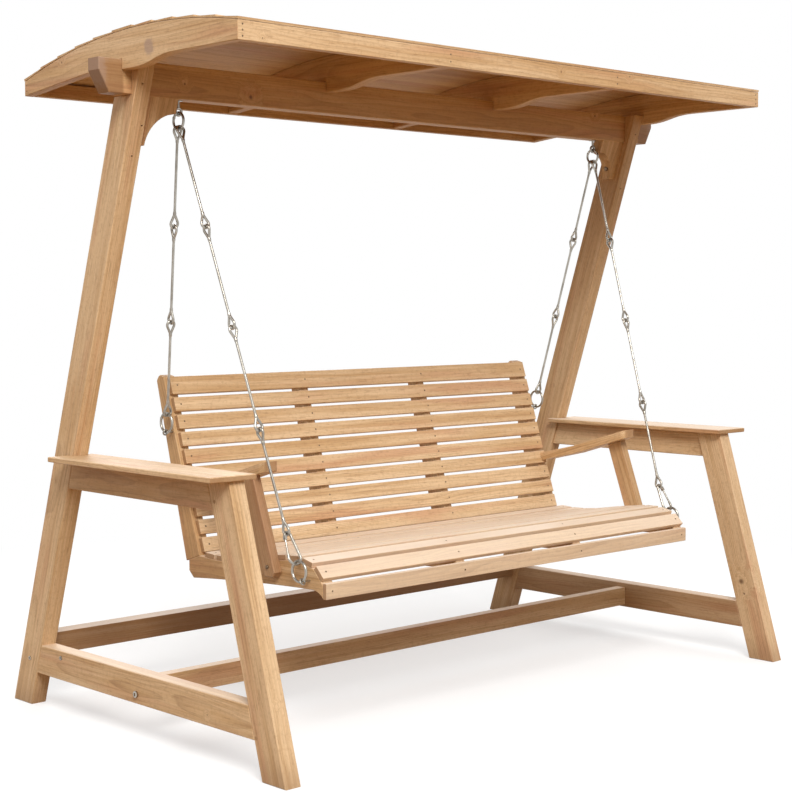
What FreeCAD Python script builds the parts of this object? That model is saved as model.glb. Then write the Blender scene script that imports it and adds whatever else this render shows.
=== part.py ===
# A canopy swing in oiled hardwood: two leaning side frames carry a beam and an arched,
# slatted roof, and a slatted bench hangs from the beam on steel rod links.
# Millimetres. X runs along the bench, Y runs from front to back, Z is up.
# The origin is on the ground, midway between the four feet.
import FreeCAD, Part
import math
import os

import Sketcher

doc = FreeCAD.newDocument("CanopySwing")
sheet = doc.addObject("Spreadsheet::Sheet", "Sizes")

# Driving sizes
SIZES = {
    # side frames
    "frame_width": 2140.0,
    "foot_spread": 1304.0,
    "frame_height": 1858.0,
    "post_thickness": 50.0,
    "post_depth": 100.6,
    "post_top_reach": 57.1,
    "leg_depth": 94.4,
    "leg_lean_run": 226.3,
    "shelf_height": 765.0,
    "shelf_thickness": 14.5,
    "shelf_width": 149.0,
    "shelf_overhang": 71.0,
    "shelf_front_reach": 445.5,
    "shelf_length": 769.0,
    "rail_height": 82.5,
    "rail_thickness": 42.0,
    "stretcher_bottom": 101.0,
    "stretcher_height": 86.0,
    "middle_stretcher_bottom": 109.0,
    "middle_stretcher_height": 63.0,
    "middle_stretcher_depth": 37.0,
    "middle_stretcher_centre": 5.5,
    "rear_stretcher_bottom": 146.0,
    "rear_stretcher_height": 65.0,
    "rear_stretcher_depth": 62.0,
    "rear_stretcher_inset": 22.0,
    # beam and its brackets
    "beam_height": 92.0,
    "beam_depth": 54.0,
    "beam_front_reach": 11.0,
    "beam_length": 2344.0,
    "horn_cut_height": 33.0,
    "horn_slant_run": 32.0,
    "bracket_reach": 110.0,
    "bracket_drop": 130.0,
    "bracket_nose": 40.0,
    "bracket_toe": 24.0,
    "bracket_radius": 90.0,
    "bracket_thickness": 40.0,
    "bracket_setback": 7.0,
    # roof
    "arch_thickness": 30.0,
    "rib_thickness": 37.0,
    "rib_spacing": 720.0,
    "roof_front_reach": 520.0,
    "roof_rear_reach": 491.0,
    "arch_crown_reach": 130.9,
    "arch_crown_rise": 79.4,
    "arch_radius": 2131.7,
    "arch_front_drop": 6.0,
    "arch_rear_drop": 55.0,
    "arch_belly_drop": 29.0,
    "belly_front_reach": 62.0,
    "belly_rear_reach": 100.0,
    "belly_blend_run": 185.0,
    "belly_blend_radius": 370.0,
    "arch_rear_knee": 160.0,
    "arch_rear_knee_drop": 22.0,
    "fascia_thickness": 24.0,
    "roof_slat_thick": 6.8,
    "roof_slat_thin": 2.5,
    "roof_slat_lap": 13.0,
    # bench
    "bench_width": 1561.0,
    "bench_rail_thickness": 40.0,
    "inner_rail_thickness": 36.0,
    "inner_rail_spacing": 510.0,
    "slat_width": 43.0,
    "slat_thickness": 15.0,
    "seat_slat_pitch": 54.8,
    "seat_rear_y": 66.0,
    "seat_rear_height": 483.0,
    "seat_front_slat_setback": 457.0,
    "seat_front_slat_top": 456.5,
    "seat_corner_slat_front": 450.0,
    "seat_corner_slat_low": 459.0,
    "seat_rail_rear_reach": 145.0,
    "seat_rail_rear_low": 420.0,
    "seat_rail_rear_high": 452.0,
    "seat_rail_clip_run": 21.0,
    "seat_rail_clip_rise": 19.0,
    "seat_rail_knee": 410.0,
    "seat_rail_knee_height": 434.0,
    "seat_rail_nose_height": 414.0,
    "seat_rail_nose_radius": 62.0,
    "seat_rail_belly_radius": 9000.0,
    "back_foot_y": 83.0,
    "back_foot_height": 484.0,
    "back_slat_pitch": 53.0,
    "back_top_slat_width": 54.0,
    "back_width": 1540.0,
    "back_slat_drop": 4.0,
    "stile_foot_drop": 10.8,
    "stile_foot_run": 64.2,
    "stile_top_depth": 38.1,
    "stile_top_rise": 1.7,
    "stile_crown_radius": 26.0,
    "stile_crown_depth": 16.9,
    "stile_crown_rise": 14.7,
    "stile_shoulder_rise": 5.0,
    "inner_stile_drop": 8.0,
    "arm_tip_reach": 238.0,
    "arm_tip_height": 767.0,
    "arm_thickness": 26.0,
    "arm_width": 61.0,
    "arm_bend_reach": 10.0,
    "arm_corner_radius": 20.0,
    "arm_post_thickness": 27.5,
    "arm_post_depth": 62.0,
    "arm_post_front_y": 273.0,
    "arm_post_front_height": 505.0,
    "arm_post_bottom": 453.0,
    "arm_post_clip": 14.0,
    # hangers
    "hanger_spread": 1778.0,
    "hanger_setback": 37.0,
    "wire": 7.5,
    "link_gap": 0.5,
    "screw_eye_radius": 10.0,
    "screw_eye_neck": 15.0,
    "screw_eye_washer": 2.0,
    "screw_eye_washer_radius": 12.0,
    "screw_eye_depth": 42.0,
    "top_ring_radius": 23.5,
    "rod_eye_radius": 12.0,
    "rod_eye_length": 40.0,
    "hook_top_y": 340.0,
    "hook_top_height": 581.0,
    "hook_crown_radius": 10.0,
    "hook_bow_radius": 20.0,
    "gate_wire": 5.6,
    "gate_ear": 2.0,
    "gate_pin_radius": 1.2,
    "gate_pin_play": 0.1,
    "seat_ring_radius": 28.5,
    "front_ring_y": 391.0,
    "front_ring_height": 484.0,
    "rear_ring_y": 214.0,
    "rear_ring_height": 851.0,
    "ring_standoff": 26.0,
    "ring_eye_radius": 7.6,
    "ring_eye_wire": 5.0,
    "ring_eye_depth": 18.0,
    # fastenings
    "screw_head_radius": 2.6,
    "screw_head_height": 1.6,
    "screw_sink": 2.2,
    "screw_shank_radius": 1.5,
    "screw_length": 32.0,
    "arm_screw_length": 52.0,
    "arm_bolt_reach": 28.0,
    "screw_inset": 22.0,
    "barrel_radius": 6.0,
    "barrel_length": 32.0,
    "barrel_proud": 1.2,
    "bolt_head_radius": 9.0,
    "bolt_head_height": 4.5,
    "arm_bolt_head_radius": 5.5,
    "arm_bolt_head_height": 2.6,
    "post_hole_radius": 3.4,
    "nail_head_radius": 2.4,
    "nail_head_height": 1.0,
    "nail_radius": 1.3,
    "nail_length": 55.0,
    "nail_sink": 0.6,
    "bolt_radius": 4.0,
    "bolt_reach": 60.0,
    "plug_radius": 5.0,
    "plug_depth": 9.0,
    "bracket_bolt_drop": 94.0,
    "bracket_bolt_head_radius": 6.5,
    "bracket_bolt_head_height": 8.0,
    "bracket_pocket_radius": 9.0,
    "bracket_pocket_seat": 28.0,
    "bracket_bolt_reach": 30.0,
    # shared small values
    "edge_ease": 2.0,
    "slat_round": 1.8,
    "fit_gap": 0.3,
}

# Angles in degrees
ANGLES = {
    "back_rake_angle": 18.37,
    "arm_tilt_angle": 16.6,
    "arm_rear_tilt_angle": 12.6,
    "arm_post_lean_angle": 19.75,
    "seat_corner_tilt_angle": 45.0,
}

# How far each seat slat rises toward the front, in degrees, from the rear slat on
SEAT_SLAT_RISE_ANGLES = (-3.2, 1.5, 5.0, 9.0, 9.0, 8.0, 6.5, 1.0, -13.0)

BACK_SLATS = 10
ROOF_SLATS = 11
FRONT_RODS = 4
REAR_RODS = 3

# Heights of the small screw holes in the front of each post, as shares of its height
POST_HOLE_SHARES = (0.966, 0.908, 0.864)
# Where each of those holes stands across the post, from its inner side
POST_HOLE_ACROSS_SHARES = (0.6, 0.2, 0.5)
# The plugs in each front leg: height as a share of the shelf's, place across the leg from its front
PLUG_HEIGHT_SHARES = (0.905, 0.141)
PLUG_ACROSS_SHARES = (0.84, 0.9)
# The barrel nuts: height as a share of the stretcher's, and reach forward as a share of the post's depth
POST_BARREL_UP_SHARE = 0.45
STRETCHER_BARREL_UP_SHARE = 0.76
STRETCHER_BARREL_FORWARD_SHARE = 1.35
# The bolts that hold the middle stretcher and the arm posts, as shares of the piece they hold
MIDDLE_BOLT_UP_SHARE = 0.3
ARM_BOLT_ACROSS_SHARE = 0.4
ARM_BOLT_CLIP_SHARE = 2.0
# Heights of the nails in the fascias, as shares of the fascia's height
ARCH_NAIL_SHARES = (0.2, 0.5, 0.8)
RIB_NAIL_SHARES = (0.3, 0.7)
# Radius of a ring eye's shank as a share of its wire
EYE_SHANK_SHARE = 0.45

SIDES = (("left", -1), ("right", 1))


class Size:
    """A length that carries its value and the sheet expression behind it."""

    def __init__(self, value, text):
        self.value = value
        self.text = text

    def __add__(self, other):
        return Size(self.value + value_of(other), f"({self.text} + {text_of(other)})")

    def __radd__(self, other):
        return as_size(other) + self

    def __sub__(self, other):
        return Size(self.value - value_of(other), f"({self.text} - {text_of(other)})")

    def __rsub__(self, other):
        return as_size(other) - self

    def __mul__(self, other):
        return Size(self.value * value_of(other), f"({self.text} * {text_of(other)})")

    def __rmul__(self, other):
        return as_size(other) * self

    def __truediv__(self, other):
        return Size(self.value / value_of(other), f"({self.text} / {text_of(other)})")

    def __neg__(self):
        return Size(-self.value, f"(0 - {self.text})")


def as_size(number):
    return number if isinstance(number, Size) else Size(float(number), f"{number}")


def value_of(number):
    return number.value if isinstance(number, Size) else float(number)


def text_of(number):
    return number.text if isinstance(number, Size) else f"{number}"


def sine(angle):
    return Size(math.sin(math.radians(angle.value)), f"sin({angle.text})")


def cosine(angle):
    return Size(math.cos(math.radians(angle.value)), f"cos({angle.text})")


def root(size):
    return Size(math.sqrt(size.value), f"sqrt({size.text})")


def tangent(angle):
    return Size(math.tan(math.radians(angle.value)), f"tan({angle.text})")


class Named:
    """The sheet's sizes and angles under their own names."""


def fill_sheet():
    named = Named()
    for row, (name, value) in enumerate({**SIZES, **ANGLES}.items(), start=1):
        sheet.set(f"A{row}", name)
        sheet.set(f"B{row}", f"{value}")
        sheet.setAlias(f"B{row}", name)
        setattr(named, name, Size(value, f"Sizes.{name}"))
    doc.recompute()
    return named


s = fill_sheet()
pieces = []


def vector(x, y, z):
    return FreeCAD.Vector(value_of(x), value_of(y), value_of(z))


def bind(thing, **sizes):
    for name, size in sizes.items():
        thing.setExpression(name, text_of(size))


def keep(thing, label):
    """Give a finished sub-part its own name."""
    thing.Label = label
    pieces.append(thing)
    return thing


# Boards


def arc_between(start, finish, bend):
    """A minor arc from start to finish. A positive bend turns to the left, a negative one right."""
    radius = abs(bend)
    run, rise = finish[0] - start[0], finish[1] - start[1]
    chord = math.hypot(run, rise)
    reach = math.sqrt(radius ** 2 - chord ** 2 / 4) * (1 if bend > 0 else -1)
    centre = ((start[0] + finish[0]) / 2 - rise / chord * reach,
              (start[1] + finish[1]) / 2 + run / chord * reach)
    first, last = (start, finish) if bend > 0 else (finish, start)
    angles = [math.atan2(point[1] - centre[1], point[0] - centre[0]) for point in (first, last)]
    if angles[1] < angles[0]:
        angles[1] += 2 * math.pi
    circle = Part.Circle(vector(centre[0], centre[1], 0), vector(0, 0, 1), radius)
    return Part.ArcOfCircle(circle, angles[0], angles[1])


def draw_outline(body, plane_role, outline):
    """Sketch an outline of corners (across, up) or (across, up, bend), bound to the sheet.

    A bend is the radius of the arc that leads to that corner from the one before it.
    """
    plane = next(part for part in body.Origin.OriginFeatures if part.Role == plane_role)
    sketch = body.newObject("Sketcher::SketchObject", f"{body.Name}_outline")
    sketch.AttachmentSupport = [(plane, "")]
    sketch.MapMode = "FlatFace"
    count = len(outline)
    ends = []
    for index, corner in enumerate(outline):
        follow = outline[(index + 1) % count]
        start = (value_of(corner[0]), value_of(corner[1]))
        finish = (value_of(follow[0]), value_of(follow[1]))
        if len(follow) == 2:
            sketch.addGeometry(Part.LineSegment(vector(*start, 0), vector(*finish, 0)), False)
            ends.append((1, 2))
        else:
            sketch.addGeometry(arc_between(start, finish, value_of(follow[2])), False)
            ends.append((1, 2) if value_of(follow[2]) > 0 else (2, 1))
    rules = []
    for index in range(count):
        after = (index + 1) % count
        rules.append((Sketcher.Constraint("Coincident", index, ends[index][1], after, ends[after][0]), None))
    for index, corner in enumerate(outline):
        for kind, size in (("DistanceX", corner[0]), ("DistanceY", corner[1])):
            rule = Sketcher.Constraint(kind, -1, 1, index, ends[index][0], value_of(size))
            rules.append((rule, size))
        if len(outline[(index + 1) % count]) == 3:
            bend = outline[(index + 1) % count][2]
            bend = bend if value_of(bend) > 0 else -bend
            rules.append((Sketcher.Constraint("Radius", index, value_of(bend)), bend))
    for rule, _ in rules:
        sketch.addConstraint(rule)
    for number, (_, size) in enumerate(rules):
        if isinstance(size, Size):
            sketch.setExpression(f"Constraints[{number}]", size.text)
    return sketch


PLANES = ("YZ_Plane", "XZ_Plane", "XY_Plane")
HALF_TURN = 180


def edges_of(shape, axis, thickness, which):
    """Names of the edges round a plate's two flat faces, or of those that run through it."""
    names = []
    for number, edge in enumerate(shape.Edges, start=1):
        depths = [abs(tuple(corner.Point)[axis]) for corner in edge.Vertexes]
        on_near = all(depth < thickness / 1000 for depth in depths)
        on_far = all(abs(depth - thickness) < thickness / 1000 for depth in depths)
        if which == "all" or (on_near or on_far) == (which == "rim"):
            names.append(f"Edge{number}")
    return names


def board(label, plane_role, near, thickness, outline, easing=None, which="rim"):
    """A board cut to an outline, near its lowest place along the axis.

    Its flat faces are chamfered all round, or with which as "all" every edge is rounded.
    """
    body = doc.addObject("PartDesign::Body", label)
    pad = body.newObject("PartDesign::Pad", f"{label}_pad")
    pad.Profile = draw_outline(body, plane_role, outline)
    bind(pad, Length=thickness)
    doc.recompute()
    if easing is not None:
        edges = edges_of(pad.Shape, PLANES.index(plane_role), value_of(thickness), which)
        if which == "rim":
            eased = body.newObject("PartDesign::Chamfer", f"{label}_chamfer")
            eased.Base = (pad, edges)
            bind(eased, Size=easing)
        else:
            eased = body.newObject("PartDesign::Fillet", f"{label}_rounding")
            eased.Base = (pad, edges)
            bind(eased, Radius=easing)
    if plane_role == "XZ_Plane":
        near = near + thickness
    body.setExpression(f"Placement.Base.{'xyz'[PLANES.index(plane_role)]}", text_of(near))
    doc.recompute()
    return body


def leaning_board(label, outline, near, thickness, bottom, top, run):
    """A board across the frame whose two faces lean back by a run between its top and its bottom."""
    deep = thickness + run
    body = board(label, "XZ_Plane", near, deep, outline)
    for number, wedge in enumerate(([(-deep, top), (-deep, bottom), (-thickness, bottom)],
                                    [(0, bottom), (0, top), (-run, top)])):
        pocket = body.newObject("PartDesign::Pocket", f"{label}_pocket{number}")
        pocket.Profile = draw_outline(body, "YZ_Plane", wedge)
        pocket.Type = "ThroughAll"
        pocket.Midplane = True
        doc.recompute()
    return body


def box_outline(left, right, bottom, top):
    return [(left, bottom), (right, bottom), (right, top), (left, top)]


def cylinder(label, radius, length, place):
    rod = doc.addObject("Part::Cylinder", label)
    bind(rod, Radius=radius, Height=length)
    rod.Placement = place
    return rod


def torus(label, ring_radius, wire_radius, place, sweep=None):
    ring = doc.addObject("Part::Torus", label)
    bind(ring, Radius1=ring_radius, Radius2=wire_radius)
    if sweep is not None:
        bind(ring, Angle3=sweep)
    ring.Placement = place
    return ring


def joined(label, things):
    whole = doc.addObject("Part::MultiFuse", label)
    whole.Shapes = things
    return whole


def compound(label, things):
    group = doc.addObject("Part::Compound", label)
    group.Links = things
    return group


def cut(label, base, tool):
    rest = doc.addObject("Part::Cut", label)
    rest.Base = base
    rest.Tool = tool
    return rest


def copy_at(label, thing, place):
    copy = doc.addObject("Part::Compound", label)
    copy.Links = [thing]
    copy.Placement = place
    return copy


def facing(x, y, z, direction):
    """A place whose own Z axis points along a direction."""
    turn = FreeCAD.Rotation(FreeCAD.Vector(0, 0, 1), FreeCAD.Vector(*direction))
    return FreeCAD.Placement(vector(x, y, z), turn)


def across(side, inner, outer):
    """The lowest x and the thickness of a piece between two distances from the middle."""
    return (inner if side > 0 else -outer), outer - inner


def stepped(label, parts, place):
    """Coaxial cylinders (start, radius, length) along one axis, joined and put in place."""
    steps = []
    for number, (start, radius, length) in enumerate(parts):
        base = FreeCAD.Placement(vector(0, 0, start), FreeCAD.Rotation())
        steps.append(cylinder(f"{label}_step{number}", radius, length, base))
    solid = joined(label, steps) if len(steps) > 1 else steps[0]
    solid.Placement = place.multiply(solid.Placement)
    return solid


# Side frames
half_frame = s.frame_width / 2
post_inner = half_frame - s.post_thickness
foot_front = -s.foot_spread / 2
post_slope = (s.foot_spread / 2 - s.post_depth + s.post_top_reach) / s.frame_height
leg_slope = s.leg_lean_run / s.shelf_height
beam_front = -s.beam_front_reach
beam_rear = beam_front + s.beam_depth
beam_bottom = s.frame_height - s.beam_height
shelf_underside = s.shelf_height - s.shelf_thickness


def post_front(height):
    return s.foot_spread / 2 - s.post_depth - post_slope * height


def leg_rear(height):
    return foot_front + s.leg_depth + leg_slope * height


def x_hole(label, side, radius, depth, y, height, outer=half_frame):
    """A blind hole bored inward from an outer face."""
    return cylinder(label, radius, depth, facing(outer * side, y, height, (-side, 0, 0)))


barrel_hole = s.barrel_radius + s.fit_gap
bolt_hole = s.bolt_radius + s.fit_gap
plug_spots = tuple(zip(("upper_plug", "lower_plug"), PLUG_HEIGHT_SHARES, PLUG_ACROSS_SHARES))
post_barrel_height = s.stretcher_bottom + s.stretcher_height * POST_BARREL_UP_SHARE
post_barrel_y = post_front(post_barrel_height) + s.post_depth / 2
stretcher_barrel_y = post_front(s.stretcher_bottom) - s.post_depth * STRETCHER_BARREL_FORWARD_SHARE
stretcher_barrel_height = s.stretcher_bottom + s.stretcher_height * STRETCHER_BARREL_UP_SHARE
middle_y = -s.middle_stretcher_centre
middle_bolt_height = s.middle_stretcher_bottom + s.middle_stretcher_height * MIDDLE_BOLT_UP_SHARE

bracket_y = beam_front + s.bracket_setback
bracket_bolt_y = bracket_y + s.bracket_thickness / 2 + post_slope * s.bracket_bolt_drop
bracket_bolt_height = beam_bottom - s.bracket_bolt_drop

hardware = []
plugs = []
for name, side in SIDES:
    post = board(f"{name}_rear_post_board", "YZ_Plane", *across(side, post_inner, half_frame), [
        (post_front(0), 0),
        (post_front(0) + s.post_depth, 0),
        (post_front(beam_bottom) + s.post_depth, beam_bottom),
        (beam_front, beam_bottom),
        (beam_front, s.frame_height),
        (post_front(s.frame_height), s.frame_height)], s.edge_ease)
    bores = [
        x_hole(f"{name}_post_barrel_bore", side, barrel_hole, s.barrel_length + s.fit_gap,
               post_barrel_y, post_barrel_height),
        cylinder(f"{name}_bracket_bolt_bore", bolt_hole, s.bracket_bolt_reach + s.fit_gap,
                 facing(post_inner * side, bracket_bolt_y, bracket_bolt_height, (side, 0, 0)))]
    for number, (up_share, across_share) in enumerate(zip(POST_HOLE_SHARES, POST_HOLE_ACROSS_SHARES)):
        height = s.frame_height * up_share
        x = (post_inner + s.post_thickness * across_share) * side
        bores.append(cylinder(f"{name}_post_screw_bore{number}", s.post_hole_radius, s.screw_length / 2,
                              facing(x, post_front(height), height, (0, 1, 0))))
    keep(cut(f"{name}_rear_post_cut", post, compound(f"{name}_post_bores", bores)), f"{name}_rear_post")

    leg = board(f"{name}_front_leg_board", "YZ_Plane", *across(side, post_inner, half_frame), [
        (foot_front, 0),
        (foot_front + s.leg_depth, 0),
        (leg_rear(shelf_underside), shelf_underside),
        (leg_rear(shelf_underside) - s.leg_depth, shelf_underside)], s.edge_ease)
    bores = []
    for spot, up_share, across_share in plug_spots:
        height = s.shelf_height * up_share
        y = leg_rear(height) - s.leg_depth * (1 - across_share)
        bores.append(x_hole(f"{name}_{spot}_bore", side, s.plug_radius + s.fit_gap, s.plug_depth, y, height))
        plugs.append(x_hole(f"{name}_{spot}", side, s.plug_radius, s.plug_depth, y, height))
    keep(cut(f"{name}_front_leg_cut", leg, compound(f"{name}_leg_bores", bores)), f"{name}_front_leg")

    rail_bottom = shelf_underside - s.rail_height
    keep(board(f"{name}_upper_rail_board", "YZ_Plane",
               *across(side, half_frame - s.rail_thickness, half_frame), [
                   (leg_rear(rail_bottom), rail_bottom),
                   (post_front(rail_bottom), rail_bottom),
                   (post_front(shelf_underside), shelf_underside),
                   (leg_rear(shelf_underside), shelf_underside)], s.edge_ease), f"{name}_upper_rail")

    stretcher_top = s.stretcher_bottom + s.stretcher_height
    stretcher = board(f"{name}_side_stretcher_board", "YZ_Plane", *across(side, post_inner, half_frame), [
        (leg_rear(s.stretcher_bottom), s.stretcher_bottom),
        (post_front(s.stretcher_bottom), s.stretcher_bottom),
        (post_front(stretcher_top), stretcher_top),
        (leg_rear(stretcher_top), stretcher_top)], s.edge_ease)
    bores = [
        x_hole(f"{name}_stretcher_barrel_bore", side, barrel_hole, s.barrel_length + s.fit_gap,
               stretcher_barrel_y, stretcher_barrel_height),
        x_hole(f"{name}_middle_bolt_bore", side, bolt_hole, s.post_thickness, middle_y, middle_bolt_height)]
    keep(cut(f"{name}_side_stretcher_cut", stretcher, compound(f"{name}_stretcher_bores", bores)),
         f"{name}_side_stretcher")

    # The shelf is notched round the post
    notch_front = post_front(s.shelf_height) - s.fit_gap
    shelf_rear = s.shelf_length - s.shelf_front_reach
    shelf_outer = half_frame + s.shelf_overhang
    near, width = across(side, shelf_outer - s.shelf_width, shelf_outer)
    low, high = across(side, post_inner - s.fit_gap, half_frame + s.fit_gap)
    keep(board(f"{name}_side_shelf_board", "XY_Plane", shelf_underside, s.shelf_thickness, [
        (near, -s.shelf_front_reach),
        (near + width, -s.shelf_front_reach),
        (near + width, shelf_rear),
        (low + high, shelf_rear),
        (low + high, notch_front),
        (low, notch_front),
        (low, shelf_rear),
        (near, shelf_rear)], s.edge_ease), f"{name}_side_shelf")

    for spot, y, height in (("post_barrel", post_barrel_y, post_barrel_height),
                            ("stretcher_barrel", stretcher_barrel_y, stretcher_barrel_height)):
        outer = half_frame + s.barrel_proud
        hardware.append(x_hole(f"{name}_{spot}", side, s.barrel_radius, s.barrel_length, y, height, outer))
    hardware.append(stepped(f"{name}_middle_bolt", (
        (-s.bolt_head_height, s.bolt_head_radius, s.bolt_head_height),
        (0, s.bolt_radius, s.post_thickness + s.bolt_reach)),
        facing(half_frame * side, middle_y, middle_bolt_height, (-side, 0, 0))))

middle = board("middle_stretcher_board", "XZ_Plane", middle_y - s.middle_stretcher_depth / 2,
               s.middle_stretcher_depth,
               box_outline(-post_inner, post_inner, s.middle_stretcher_bottom,
                           s.middle_stretcher_bottom + s.middle_stretcher_height), s.edge_ease, "all")
bores = []
for name, side in SIDES:
    bores.append(cylinder(f"{name}_middle_end_bore", bolt_hole, s.bolt_reach + s.fit_gap,
                          facing(post_inner * side, middle_y, middle_bolt_height, (-side, 0, 0))))
keep(cut("middle_stretcher_cut", middle, compound("middle_end_bores", bores)), "middle_stretcher")

rear_top = s.rear_stretcher_bottom + s.rear_stretcher_height
rear_front = post_front(s.rear_stretcher_bottom) + s.rear_stretcher_inset
keep(board("rear_stretcher_board", "XZ_Plane", rear_front, s.rear_stretcher_depth,
           box_outline(-post_inner, post_inner, s.rear_stretcher_bottom, rear_top), s.edge_ease, "all"),
     "rear_stretcher")

# Beam with slanted horns, and the brackets under it
half_beam = s.beam_length / 2
horn_root = half_beam - s.horn_slant_run
horn_cut = s.frame_height - s.horn_cut_height
hanger_x = s.hanger_spread / 2
hanger_y = beam_front + s.hanger_setback
eye_hole = s.wire / 2 + s.fit_gap
beam = board("roof_beam_board", "XZ_Plane", beam_front, s.beam_depth, [
    (-horn_root, beam_bottom),
    (horn_root, beam_bottom),
    (half_beam, horn_cut),
    (half_beam, s.frame_height),
    (-half_beam, s.frame_height),
    (-half_beam, horn_cut)], s.edge_ease)
bores = []
for name, side in SIDES:
    bores.append(cylinder(f"{name}_screw_eye_bore", eye_hole, s.screw_eye_depth + s.fit_gap,
                          facing(hanger_x * side, hanger_y, beam_bottom, (0, 0, 1))))
keep(cut("roof_beam_cut", beam, compound("screw_eye_bores", bores)), "roof_beam")

bracket_bottom = beam_bottom - s.bracket_drop
bracket_lean_run = post_slope * s.bracket_drop
bracket_nose_x = post_inner - s.bracket_reach
pocket_seat = post_inner - s.bracket_pocket_seat
for name, side in SIDES:
    corners = [
        (post_inner * side, bracket_bottom),
        (post_inner * side, beam_bottom),
        (bracket_nose_x * side, beam_bottom),
        (bracket_nose_x * side, beam_bottom - s.bracket_nose),
        ((post_inner - s.bracket_toe) * side, bracket_bottom, -s.bracket_radius * side)]
    bracket = leaning_board(f"{name}_beam_bracket_board", corners, bracket_y, s.bracket_thickness,
                            bracket_bottom, beam_bottom, bracket_lean_run)
    bore = stepped(f"{name}_bracket_bores", (
        (0, bolt_hole, s.bracket_reach),
        (s.bracket_pocket_seat, s.bracket_pocket_radius, s.bracket_reach)),
        facing(post_inner * side, bracket_bolt_y, bracket_bolt_height, (-side, 0, 0)))
    keep(cut(f"{name}_beam_bracket_cut", bracket, bore), f"{name}_beam_bracket")
    hardware.append(stepped(f"{name}_bracket_bolt", (
        (-s.bracket_bolt_reach, s.bolt_radius, s.bracket_bolt_reach + s.bracket_pocket_seat),
        (s.bracket_pocket_seat, s.bracket_bolt_head_radius, s.bracket_bolt_head_height)),
        facing(post_inner * side, bracket_bolt_y, bracket_bolt_height, (-side, 0, 0))))

# Roof: arches on the posts, ribs between the fascias, lapped slats over all
arch_outer = half_frame + s.arch_thickness
roof_front = -s.roof_front_reach
arc_centre_height = s.frame_height + s.arch_crown_rise - s.arch_radius
arch_front_bottom = s.frame_height - s.arch_front_drop
arch_rear_bottom = s.frame_height - s.arch_rear_drop
arch_belly_bottom = s.frame_height - s.arch_belly_drop
arch_rear_knee_height = s.frame_height - s.arch_rear_knee_drop


def arch_top(y):
    """Height of the arches' top edge."""
    offset = y + s.arch_crown_reach
    return arc_centre_height + root(s.arch_radius * s.arch_radius - offset * offset)


def arch_underside(y):
    """Height of the arches' straight rear underside."""
    fall = (arch_rear_knee_height - arch_rear_bottom) / (s.roof_rear_reach - s.arch_rear_knee)
    return arch_rear_bottom + fall * (s.roof_rear_reach - y)


def rib_outline(front, rear):
    """An arched board: straight front, a belly notched over the beam, and a falling rear."""
    belly_front = -s.belly_front_reach
    blend_start = belly_front - s.belly_blend_run
    blend_middle = belly_front - s.belly_blend_run / 2
    blend_height = (arch_front_bottom + arch_belly_bottom) / 2
    return [
        (front, arch_front_bottom),
        (blend_start, arch_front_bottom),
        (blend_middle, blend_height, -s.belly_blend_radius),
        (belly_front, arch_belly_bottom, s.belly_blend_radius),
        (beam_front - s.fit_gap, arch_belly_bottom),
        (beam_front - s.fit_gap, s.frame_height),
        (beam_rear + s.fit_gap, s.frame_height),
        (beam_rear + s.fit_gap, arch_belly_bottom),
        (s.belly_rear_reach, arch_belly_bottom),
        (s.arch_rear_knee, arch_rear_knee_height),
        (rear, arch_underside(rear)),
        (rear, arch_top(rear)),
        (front, arch_top(front), s.arch_radius)]


nail_parts = (
    (-s.nail_sink - s.nail_head_height, s.nail_head_radius, s.nail_head_height),
    (-s.nail_length, s.nail_radius, s.nail_length - s.nail_sink - s.nail_head_height))
nail_bore_parts = (
    (-s.nail_sink - s.nail_head_height, s.nail_head_radius + s.fit_gap, s.nail_length),
    (-s.nail_length - s.fit_gap, s.nail_radius + s.fit_gap, s.nail_length))
fascia_nails = []
fascia_bores = []


def nailed(label, board_piece, spots):
    """Drive nails at places and directions through a fascia's joint, and bore the piece behind."""
    bores = []
    for number, (x, y, height, way) in enumerate(spots):
        fascia_nails.append(stepped(f"{label}_nail{number}", nail_parts, facing(x, y, height, way)))
        bores.append(stepped(f"{label}_nail_bore{number}", nail_bore_parts, facing(x, y, height, way)))
    fascia_bores.extend(bores)
    return cut(f"{label}_cut", board_piece, compound(f"{label}_bores", bores))


fascia_back = roof_front + s.fascia_thickness
fascia_rise = arch_top(roof_front) - arch_front_bottom
rear_fascia_front = s.roof_rear_reach - s.fascia_thickness
rear_fascia_bottom = arch_underside(s.roof_rear_reach)
rear_fascia_rise = arch_top(s.roof_rear_reach) - rear_fascia_bottom


def mitre_wedge(label, side, of_arch):
    """What the mitre takes off an arch's front end, or off the end of the front fascia."""
    setback = as_size(0) if of_arch else s.fit_gap * 2
    outside, inside = arch_outer + s.arch_thickness, half_frame - s.arch_thickness
    before, behind = roof_front - s.fascia_thickness, fascia_back + s.fascia_thickness
    waste = (inside, before) if of_arch else (outside, behind)
    corners = [((outside - setback) * side, before), ((inside - setback) * side, behind),
               (waste[0] * side, waste[1])]
    return board(f"{label}_mitre", "XY_Plane", arch_front_bottom - s.fascia_thickness,
                 fascia_rise + s.fascia_thickness * 2, corners)


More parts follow.
